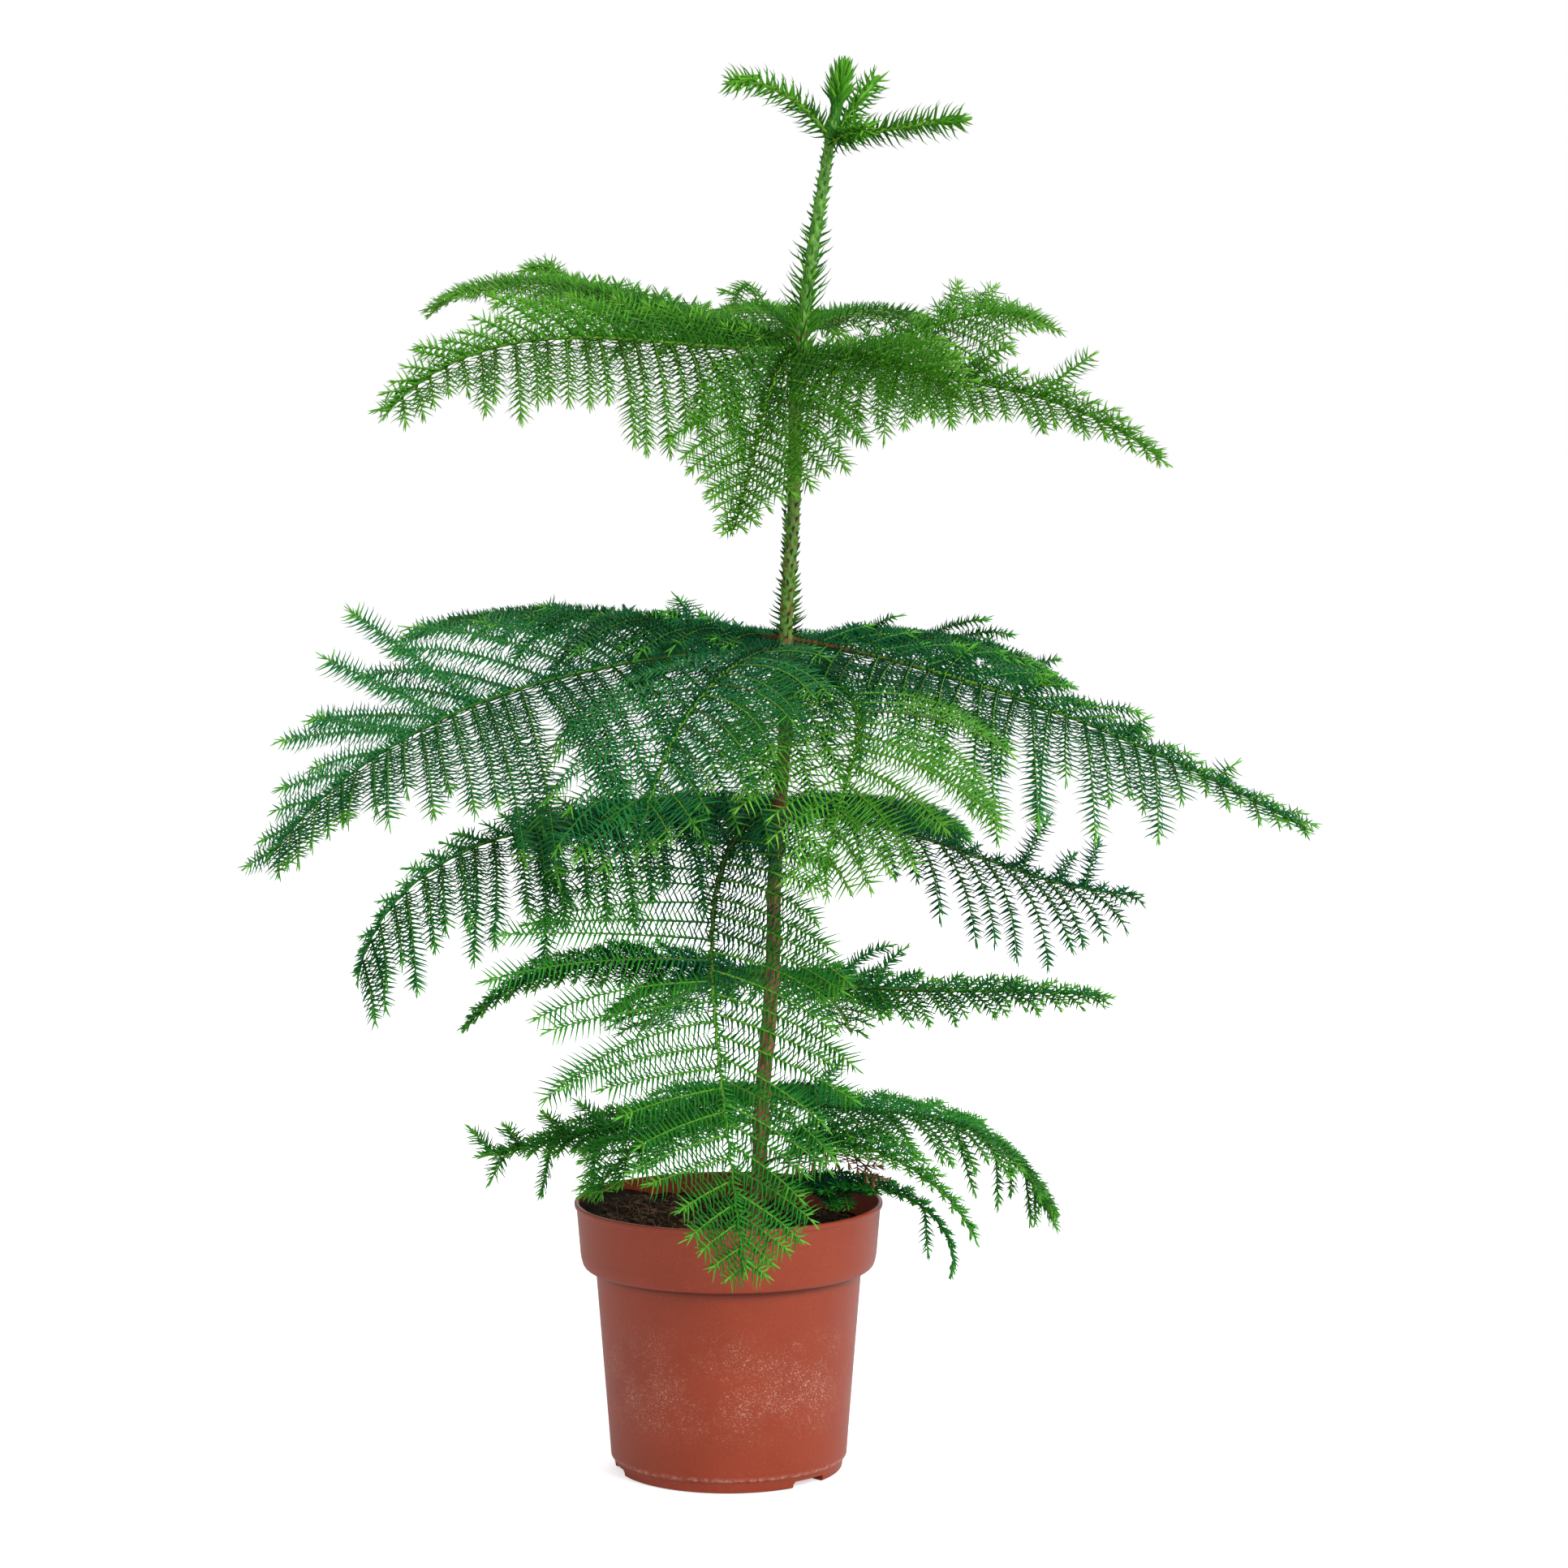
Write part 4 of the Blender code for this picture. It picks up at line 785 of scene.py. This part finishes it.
def grow_spikes(store):
    """Needles and spikes on the trunk: long and rising over the top tier, short between the whorls."""
    nrng = np.random.default_rng(77)
    z, n = 0.566, 0
    feet, ways, towards, lengths, widths, colours = [], [], [], [], [], []
    while z < 0.905:
        x, r = trunk_at(z)
        phi = n * 2.39996 + nrng.uniform(-0.2, 0.2)
        out = np.array((math.cos(phi), math.sin(phi), 0.0))
        size = np.interp(z, (0.566, 0.590, 0.612, 0.740, 0.762, 0.800, 0.830, 0.850, 0.90),
                         (0.0125, 0.0090, 0.0042, 0.0040, 0.0160, 0.0165, 0.0105, 0.0046, 0.0034)) * nrng.uniform(0.8, 1.2)
        rise = math.radians(np.interp(z, (0.566, 0.60, 0.74, 0.77, 0.80, 0.84, 0.86), (10, 18, 20, 34, 32, 20, 16)) + nrng.normal(0, 7))
        d = np.array((math.cos(rise) * out[0], math.cos(rise) * out[1], math.sin(rise)))
        feet.append(np.array((x, 0.0, z)) + out * r * 0.85)
        ways.append(d)
        towards.append(UP * 0.55)
        lengths.append(size)
        widths.append(np.interp(z, (0.566, 0.61, 0.74, 0.78, 0.83, 0.85, 0.9), (0.0011, 0.0019, 0.0020, 0.0012, 0.0013, 0.0019, 0.0016)))
        if z > 0.75:
            colours.append(INDEX["top_deep"] if nrng.uniform() < 0.35 else INDEX["top"])
        else:
            colours.append(INDEX["spike_dark"] if nrng.uniform() < 0.4 else INDEX["spike"])
        z += np.interp(z, (0.60, 0.74, 0.76, 0.80, 0.83, 0.86), (0.00075, 0.00075, 0.00060, 0.00080, 0.00110, 0.00110))
        n += 1
    store.add(np.array(feet), np.array(ways), np.array(towards), np.array(lengths), np.array(widths), np.array(colours))


def make_trunk():
    """The stem with its bark's relief: flaking low down, covered with leaf-foot scales above."""
    sides, pitch = 28, 0.0013
    heights = np.arange(SOIL_LEVEL - 0.006, 0.9440, pitch)
    rows = np.array(TRUNK)
    whorls = (0.238, 0.338, 0.449, 0.563, 0.760, 0.898)
    verts = []
    for j, z in enumerate(heights):
        x, r = trunk_at(max(z, TRUNK[0][0]))
        r = r * 1.0
        for w in whorls:
            r += 0.0009 * math.exp(-(((z - w) / 0.006) ** 2)) * (0.5 if w > 0.85 else 1.0)
        wander = 0.0010 * math.sin(z * 39 + 1.1) * min(1.0, max(0.0, (z - 0.18) / 0.05)) * (1 if z < 0.74 else 0.3)
        for k in range(sides):
            a = 2 * math.pi * k / sides
            cx, cy = math.cos(a), math.sin(a)
            bark = noise.noise(Vector((cx * 1.9, cy * 1.9, z * 170))) + 0.6 * noise.noise(Vector((cx * 4.5, cy * 4.5, z * 420 + 9)))
            crack = -abs(noise.noise(Vector((cx * 2.6 + 5, cy * 2.6, z * 60)))) + 0.2
            rough = 0.00045 * bark + 0.0007 * crack
            # leaf feet: diamond scales in crossing spirals
            u, v = a * 4 / math.pi + z / 0.0075, a * 4 / math.pi - z / 0.0075
            scale = 0.5 + 0.25 * (math.cos(math.pi * u) + math.cos(math.pi * v))
            scales = 0.0008 * (scale - 0.35) + 0.0002 * bark
            up = min(1.0, max(0.0, (z - 0.50) / 0.08))
            rr = r + (rough * (1 - up) + scales * up) * min(1.0, r / 0.003)
            verts.append((x + wander + rr * cx, rr * cy + wander * 0.6, z))
    n = len(heights)
    verts.append((trunk_at(heights[0])[0], 0.0, heights[0]))
    verts.append((trunk_at(heights[-1])[0], 0.0, heights[-1] + 0.0008))
    i = np.arange(n - 1)[:, None] * sides
    k = np.arange(sides)[None]
    m = (k + 1) % sides
    faces = [np.stack([i + k, i + m, i + m + sides], -1).reshape(-1, 3), np.stack([i + k, i + m + sides, i + k + sides], -1).reshape(-1, 3)]
    kk, mm = k[0], m[0]
    faces.append(np.stack([np.full(sides, n * sides), mm, kk], 1))
    faces.append(np.stack([np.full(sides, n * sides + 1), (n - 1) * sides + kk, (n - 1) * sides + mm], 1))
    return make_piece("stem", np.array(verts), np.concatenate(faces), [bark_material()], None, ["trunk"])


def grow_dead(store, twigs):
    """The small browned bough that arches over the soil on the right."""
    nrng, rng = np.random.default_rng(61), random.Random(61)
    row = (0.208, 325, 0.104, 20, 4, -75, 15)
    line = bough_line(row)
    look = dict(length=0.0096, width=0.00090, angle=66, bend=0.5, pitch=0.0042, ranks=((80, 1.0), (-80, 1.0), (20, 0.8)))
    dealt = ("dead", "dead_pale", "dead_pale")
    rib(twigs, line[0], UP, (0.0012, 0.0005), 4, ("dead", "dead"), nrng)
    for j in range(9):
        share = 0.30 + 0.075 * j
        for side in (-1, 1):
            start, way, level = place(line, min(share, 0.99))
            right, upper = side_frame(way, level, 15)
            twig = lateral_line(start, way, right, upper, side, share, 0.030 * spread(share), 1.8, 0, rng)
            rib(twigs, twig, upper, (0.0006, 0.0004), 3, ("dead", "dead_pale"), nrng)
            dress(store, twig, upper, look, dealt, nrng)


# ---------------------------------------------------------------- pot and soil
def rounded(points, steps=5):
    """An outline of (radius, height, corner radius) with its corners rounded."""
    out = []
    for i, (x, y, r) in enumerate(points):
        if r <= 0 or i in (0, len(points) - 1):
            out.append((x, y))
            continue
        p, a, b = np.array((x, y)), np.array(points[i - 1][:2]), np.array(points[i + 1][:2])
        da, db = (a - p) / np.linalg.norm(a - p), (b - p) / np.linalg.norm(b - p)
        cut = min(r, 0.48 * np.linalg.norm(a - p), 0.48 * np.linalg.norm(b - p))
        p0, p1 = p + da * cut, p + db * cut
        for s in range(steps + 1):
            t = s / steps
            q = (1 - t) ** 2 * p0 + 2 * t * (1 - t) * p + t * t * p1
            out.append((float(q[0]), float(q[1])))
    return out


def wall_radius(height):
    if height > BAND_LOW + 0.004:
        share = (height - BAND_LOW) / (POT_HEIGHT - BAND_LOW)
        return BAND_LOW_RADIUS + (BAND_TOP_RADIUS - BAND_LOW_RADIUS) * share - WALL
    share = (height - LEDGE_HEIGHT) / (BAND_LOW - LEDGE_HEIGHT)
    return BODY_LOW_RADIUS + (BODY_TOP_RADIUS - BODY_LOW_RADIUS) * max(0.0, share) - WALL


def make_pot():
    disc, ring, floor, sides = FLOOR_DISC_RADIUS, FOOT_RADIUS - 0.0095, 0.003, 144
    outline = rounded([
        (0, 0, 0), (disc, 0, 0.0006), (disc + 0.002, CHANNEL_HEIGHT, 0.0006), (ring - 0.002, CHANNEL_HEIGHT, 0.0006),
        (ring, 0, 0.0006), (FOOT_RADIUS, 0, 0.0016), (FOOT_RADIUS + 0.0012, LEDGE_HEIGHT - 0.0012, 0.0008),
        (BODY_LOW_RADIUS, LEDGE_HEIGHT, 0.0010), (BODY_LOW_RADIUS + 0.0016, LEDGE_HEIGHT + 0.022, 0.004),
        (BODY_TOP_RADIUS, BAND_LOW + 0.0006, 0.0008), (BAND_LOW_RADIUS - 0.0052, BAND_LOW, 0.0010),
        (BAND_LOW_RADIUS - 0.0016, BAND_LOW + 0.0020, 0.0022), (BAND_LOW_RADIUS + 0.0001, BAND_LOW + 0.0080, 0.0040),
        (BAND_TOP_RADIUS - 0.0002, POT_HEIGHT - LIP_DEPTH - 0.0012, 0.0006),
        (LIP_RADIUS - 0.0002, POT_HEIGHT - LIP_DEPTH, 0.0006),
        (LIP_RADIUS, POT_HEIGHT, 0.0013), (BAND_TOP_RADIUS - WALL, POT_HEIGHT, 0.0010),
        (wall_radius(BAND_LOW + 0.0045), BAND_LOW + 0.0040, 0.0015), (wall_radius(BAND_LOW), BAND_LOW + 0.0018, 0.001),
        (wall_radius(0.0125), 0.0125, 0.003), (FOOT_RADIUS - 0.004, CHANNEL_HEIGHT + floor, 0.001),
        (disc + 0.001, CHANNEL_HEIGHT + floor, 0.001), (disc - 0.002, floor, 0.001), (0, floor, 0)])
    bm = bmesh.new()
    rings = []
    for radius, height in outline:
        if radius < 1e-9:
            rings.append([bm.verts.new((0, 0, height))])
            continue
        rings.append([bm.verts.new((radius * math.cos(2 * math.pi * k / sides), radius * math.sin(2 * math.pi * k / sides), height))
                      for k in range(sides)])
    for low, high in zip(rings, rings[1:]):
        for k in range(sides):
            n = (k + 1) % sides
            if len(low) == 1:
                bm.faces.new((low[0], high[n], high[k]))
            elif len(high) == 1:
                bm.faces.new((low[k], low[n], high[0]))
            else:
                bm.faces.new((low[k], low[n], high[n], high[k]))
    bmesh.ops.recalc_face_normals(bm, faces=bm.faces[:])
    mesh = bpy.data.meshes.new("nursery_pot")
    bm.to_mesh(mesh)
    bm.free()
    pot = bpy.data.objects.new("nursery_pot", mesh)
    bpy.context.scene.collection.objects.link(pot)
    cutters = []
    for heading in NOTCH_HEADINGS:
        cut = bmesh.new()
        bmesh.ops.create_cube(cut, size=1.0)
        bmesh.ops.scale(cut, vec=Vector((0.030, NOTCH_WIDTH, NOTCH_HEIGHT * 2)), verts=cut.verts[:])
        bmesh.ops.bevel(cut, geom=[e for e in cut.edges if abs(e.verts[0].co.y - e.verts[1].co.y) < 1e-6 and
                                   abs(e.verts[0].co.z - e.verts[1].co.z) < 1e-6], offset=0.0012, segments=3, affect="EDGES")
        m = bpy.data.meshes.new("notch")
        cut.to_mesh(m)
        cut.free()
        cutter = bpy.data.objects.new("notch", m)
        bpy.context.scene.collection.objects.link(cutter)
        a = math.radians(heading)
        cutter.location = (0.0775 * math.cos(a), 0.0775 * math.sin(a), 0.0)
        cutter.rotation_euler = (0, 0, a)
        cutters.append(cutter)
        boolean = pot.modifiers.new("notch", "BOOLEAN")
        boolean.operation = "DIFFERENCE"
        boolean.solver = "EXACT"
        boolean.object = cutter
    bpy.context.view_layer.update()
    done = bpy.data.meshes.new_from_object(pot.evaluated_get(bpy.context.evaluated_depsgraph_get()))
    pot.modifiers.clear()
    pot.data = done
    for cutter in cutters:
        bpy.data.objects.remove(cutter)
    done.name = "nursery_pot"
    done.shade_smooth()
    done.set_sharp_from_angle(angle=math.radians(38))
    done.materials.clear()
    done.materials.append(pot_material())
    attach(pot, "root")
    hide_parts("pot")


def soil_top(x, y):
    r = math.hypot(x, y) / 0.1
    heading = math.degrees(math.atan2(y, x)) % 360
    heap = math.exp(-(((heading - 150) / 42) ** 2)) * 0.0165 * r**3
    heap += math.exp(-(((heading - 205) / 40) ** 2)) * 0.009 * r**3
    uneven = 0.0016 * math.sin(61 * x + 1.3) * math.cos(73 * y + 0.4) + 0.0011 * math.sin(173 * x - 121 * y)
    near = math.hypot(x - TRUNK[0][1], y)
    blend = min(1.0, max(0.0, (near - 0.012) / 0.03))
    return SOIL_LEVEL + (heap + uneven - 0.001) * blend


def crumbly(x, y):
    """The soil's own roughness on top of its general shape."""
    p = Vector((x, y, 0.0))
    lumps = noise.noise(p * 90) * 0.0016 + noise.noise(p * 230 + Vector((3, 1, 0))) * 0.0013
    return soil_top(x, y) + lumps + abs(noise.noise(p * 520)) * 0.0010


def make_soil():
    rings, sides = 64, 176
    verts, faces = [], []
    edge_low, depth = 0.0, 0.012
    for j in range(rings + 1):
        share = 1 - j / (rings + 1)
        for k in range(sides):
            a = 2 * math.pi * (k + 0.5 * (j % 2)) / sides
            top = wall_radius(max(BAND_LOW + 0.005, min(0.176, soil_top(0.098 * math.cos(a), 0.098 * math.sin(a))))) - 0.0005
            x, y = top * share * math.cos(a), top * share * math.sin(a)
            z = crumbly(x, y)
            if j == 0:
                z -= 0.0012
            verts.append((x, y, z))
    n = rings + 1
    verts.append((0.0, 0.0, crumbly(0, 0)))
    centre = len(verts) - 1
    low = []
    for k in range(sides):
        a = 2 * math.pi * k / sides
        low.append(len(verts))
        verts.append(((wall_radius(0.146) - 0.0008) * math.cos(a), (wall_radius(0.146) - 0.0008) * math.sin(a), 0.146))
    verts.append((0.0, 0.0, 0.146))
    bottom = len(verts) - 1
    for j in range(n - 1):
        for k in range(sides):
            m = (k + 1) % sides
            a, b, c, d = j * sides + k, j * sides + m, (j + 1) * sides + m, (j + 1) * sides + k
            faces += [(a, b, c), (a, c, d)] if j % 2 else [(a, b, d), (b, c, d)]
    for k in range(sides):
        m = (k + 1) % sides
        faces.append(((n - 1) * sides + k, (n - 1) * sides + m, centre))
        faces += [(low[k], low[m], m), (low[k], m, k)]
        faces.append((low[m], low[k], bottom))
    make_piece("compost", np.array(verts), np.array(faces), [soil_material()], None, ["soil"])
    # coir fibres lying over the surface, and bits of bark in it
    rng = np.random.default_rng(5)
    fibres = Tubes()
    for _ in range(640):
        a, r = rng.uniform(0, 2 * math.pi), 0.093 * math.sqrt(rng.uniform(0, 1))
        x, y, turn = r * math.cos(a), r * math.sin(a), rng.uniform(0, 2 * math.pi)
        steps, size = 7, rng.uniform(0.006, 0.022)
        line, curl = [], rng.normal(0, 0.5)
        for s in range(steps):
            if math.hypot(x, y) > 0.096:
                break
            line.append((x, y, crumbly(x, y) + 0.0006 + 0.0022 * math.sin(math.pi * s / (steps - 1)) * rng.uniform(0.2, 1.0)))
            turn += curl * 0.5 + rng.normal(0, 0.25)
            x, y = x + size / steps * math.cos(turn), y + size / steps * math.sin(turn)
        if len(line) > 3:
            pale = rng.uniform(0, 1) < 0.45
            fibres.add(np.array(line), np.full(len(line), rng.uniform(0.00012, 0.00028)), 3, UP,
                       [INDEX["dead_pale" if pale else "dead"]] * len(line))
    fibres.build("coir_fibres", PALETTE, "potting_mix", None)
    verts, faces = [], []
    base = bmesh.new()
    bmesh.ops.create_icosphere(base, subdivisions=1, radius=1.0)
    shape = np.array([v.co[:] for v in base.verts])
    tris = np.array([[v.index for v in f.verts] for f in base.faces])
    base.free()
    for n in range(420):
        a, r = rng.uniform(0, 2 * math.pi), 0.094 * math.sqrt(rng.uniform(0, 1))
        x, y = r * math.cos(a), r * math.sin(a)
        size = rng.uniform(0.0007, 0.0026)
        stretch = rng.uniform(0.5, 1.5, 3) * (1, 1, 0.6)
        turn = rng.uniform(0, math.pi)
        bit = shape * (1 + rng.normal(0, 0.16, len(shape)))[:, None] * stretch * size
        c, s = math.cos(turn), math.sin(turn)
        bit = bit @ np.array(((c, s, 0), (-s, c, 0), (0, 0, 1)))
        verts.append(bit + (x, y, crumbly(x, y) + size * 0.1))
        faces.append(tris + n * len(shape))
    bits = [principled("bark_bits", (0.050, 0.026, 0.014), 0.9), principled("bark_bits_pale", (0.115, 0.062, 0.032), 0.9)]
    index = np.repeat((rng.uniform(0, 1, 420) < 0.22).astype(int), len(tris))
    make_piece("compost_bits", np.concatenate(verts), np.concatenate(faces), bits, index, None, smooth=False)


# ---------------------------------------------------------------- the plant
def slot_of(tier):
    return {"a": "needles_top", "b": "needles_middle", "c": "needles_middle"}.get(tier, "needles_low")


def nodes_of(keys):
    nodes = []
    for key in keys:
        nodes += ["foliage_c3_upper", "foliage_c3_lower"] if key == "c3" else [f"foliage_{key}"]
    return nodes


GROUPS = {
    "needles_a_left": ("a1", "a2", "a3", "a9"), "needles_a_right": ("a4", "a5", "a6", "a7", "a8"),
    "needles_b_left": ("b1", "b2"), "needles_b_front": ("b3", "b4"), "needles_b_right": ("b5", "b6", "b7"),
    "needles_c_left": ("c1", "c3"), "needles_c_right": ("c2", "c4", "c5"),
    "needles_d": ("d1", "d2", "d3", "d4"), "needles_e": ("e1", "e2", "e3", "e4", "e5", "e6"),
}
limbs = Tubes()
twig_sets = {"a": Tubes(), "b": Tubes(), "c": Tubes(), "low": Tubes()}
for name, keys in GROUPS.items():
    store = Needles()
    for key in keys:
        grow_bough(key, store, twig_sets.get(key[0], twig_sets["low"]), limbs)
    store.build(name, PALETTE, slot_of(keys[0][0]), nodes_of(keys))
limbs.build("boughs", PALETTE, "green_bough", [f"bough_{key}" for key in OWN_BOUGH])
top, top_twigs = Needles(), Tubes()
grow_top(top, top_twigs)
top.build("needles_top_whorl", PALETTE, "needles_top", ["foliage_leader"] + [f"shoot_{key}" for key in SHOOTS])
top_twigs.build("shoots_top_whorl", PALETTE, "green_bough", None)
for key, tubes in twig_sets.items():
    tubes.build(f"twigs_{key}", PALETTE, "green_bough", None)
spikes = Needles()
grow_spikes(spikes)
spikes.build("stem_needles", PALETTE, "needles_top", None)
dead, dead_twigs = Needles(), Tubes()
grow_dead(dead, dead_twigs)
dead.build("browned_needles", PALETTE, "needles_low", None)
dead_twigs.build("browned_twigs", PALETTE, "green_bough", None)
make_trunk()
make_pot()
make_soil()

# ---------------------------------------------------------------- stage, light and camera
scene = bpy.context.scene
floor_mesh = bpy.data.meshes.new("floor")
floor_mesh.from_pydata([(-30, -30, 0), (30, -30, 0), (30, 30, 0), (-30, 30, 0)], [], [(0, 1, 2, 3)])
paper = principled("pale_floor", (0.90, 0.90, 0.90), 0.9, Specular_IOR_Level=0.0, Emission_Color=(1.0, 1.0, 1.0, 1.0))
seen = paper.node_tree.nodes.new("ShaderNodeLightPath")
paper.node_tree.links.new(maths(paper.node_tree, "MULTIPLY", seen.outputs["Is Camera Ray"], 0.62),
                          paper.node_tree.nodes["Principled BSDF"].inputs["Emission Strength"])
floor_mesh.materials.append(paper)
floor = bpy.data.objects.new("floor", floor_mesh)
floor.location = (0, 0, -0.0004)
scene.collection.objects.link(floor)

world = bpy.data.worlds.new("studio")
scene.world = world
world.use_nodes = True
tree = world.node_tree
tree.nodes.clear()
output = tree.nodes.new("ShaderNodeOutputWorld")
shown = tree.nodes.new("ShaderNodeBackground")
lit = tree.nodes.new("ShaderNodeBackground")
mixed = tree.nodes.new("ShaderNodeMixShader")
path = tree.nodes.new("ShaderNodeLightPath")
shown.inputs["Color"].default_value = (1.0, 1.0, 1.0, 1.0)
shown.inputs["Strength"].default_value = 1.0
lit.inputs["Color"].default_value = (0.97, 0.985, 1.0, 1.0)
lit.inputs["Strength"].default_value = 0.50
tree.links.new(path.outputs["Is Camera Ray"], mixed.inputs[0])
tree.links.new(lit.outputs[0], mixed.inputs[1])
tree.links.new(shown.outputs[0], mixed.inputs[2])
tree.links.new(mixed.outputs[0], output.inputs["Surface"])


def area_light(name, place, target, size, power):
    light = bpy.data.lights.new(name, "AREA")
    light.energy = power
    light.size = size
    obj = bpy.data.objects.new(name, light)
    obj.location = place
    obj.rotation_euler = (Vector(target) - Vector(place)).to_track_quat("-Z", "Y").to_euler()
    scene.collection.objects.link(obj)


area_light("key", (2.2, -2.6, 2.4), (0.0, 0.0, 0.5), 1.6, 112)
area_light("fill", (-2.6, -2.2, 1.6), (0.0, 0.0, 0.5), 2.0, 6)
area_light("rim", (0.6, 2.8, 2.4), (0.0, 0.0, 0.5), 2.0, 40)

camera_data = bpy.data.cameras.new("camera")
camera = bpy.data.objects.new("camera", camera_data)
camera_data.sensor_fit = "HORIZONTAL"
camera_data.sensor_width = 36.0
camera_data.lens = 92.81
camera_data.clip_end = 100.0
camera.location = (0.0377, -2.7147, 0.7131)
camera.rotation_euler = (math.radians(84.832), 0.0, 0.0)
scene.collection.objects.link(camera)
scene.camera = camera
scene.view_settings.view_transform = "Standard"
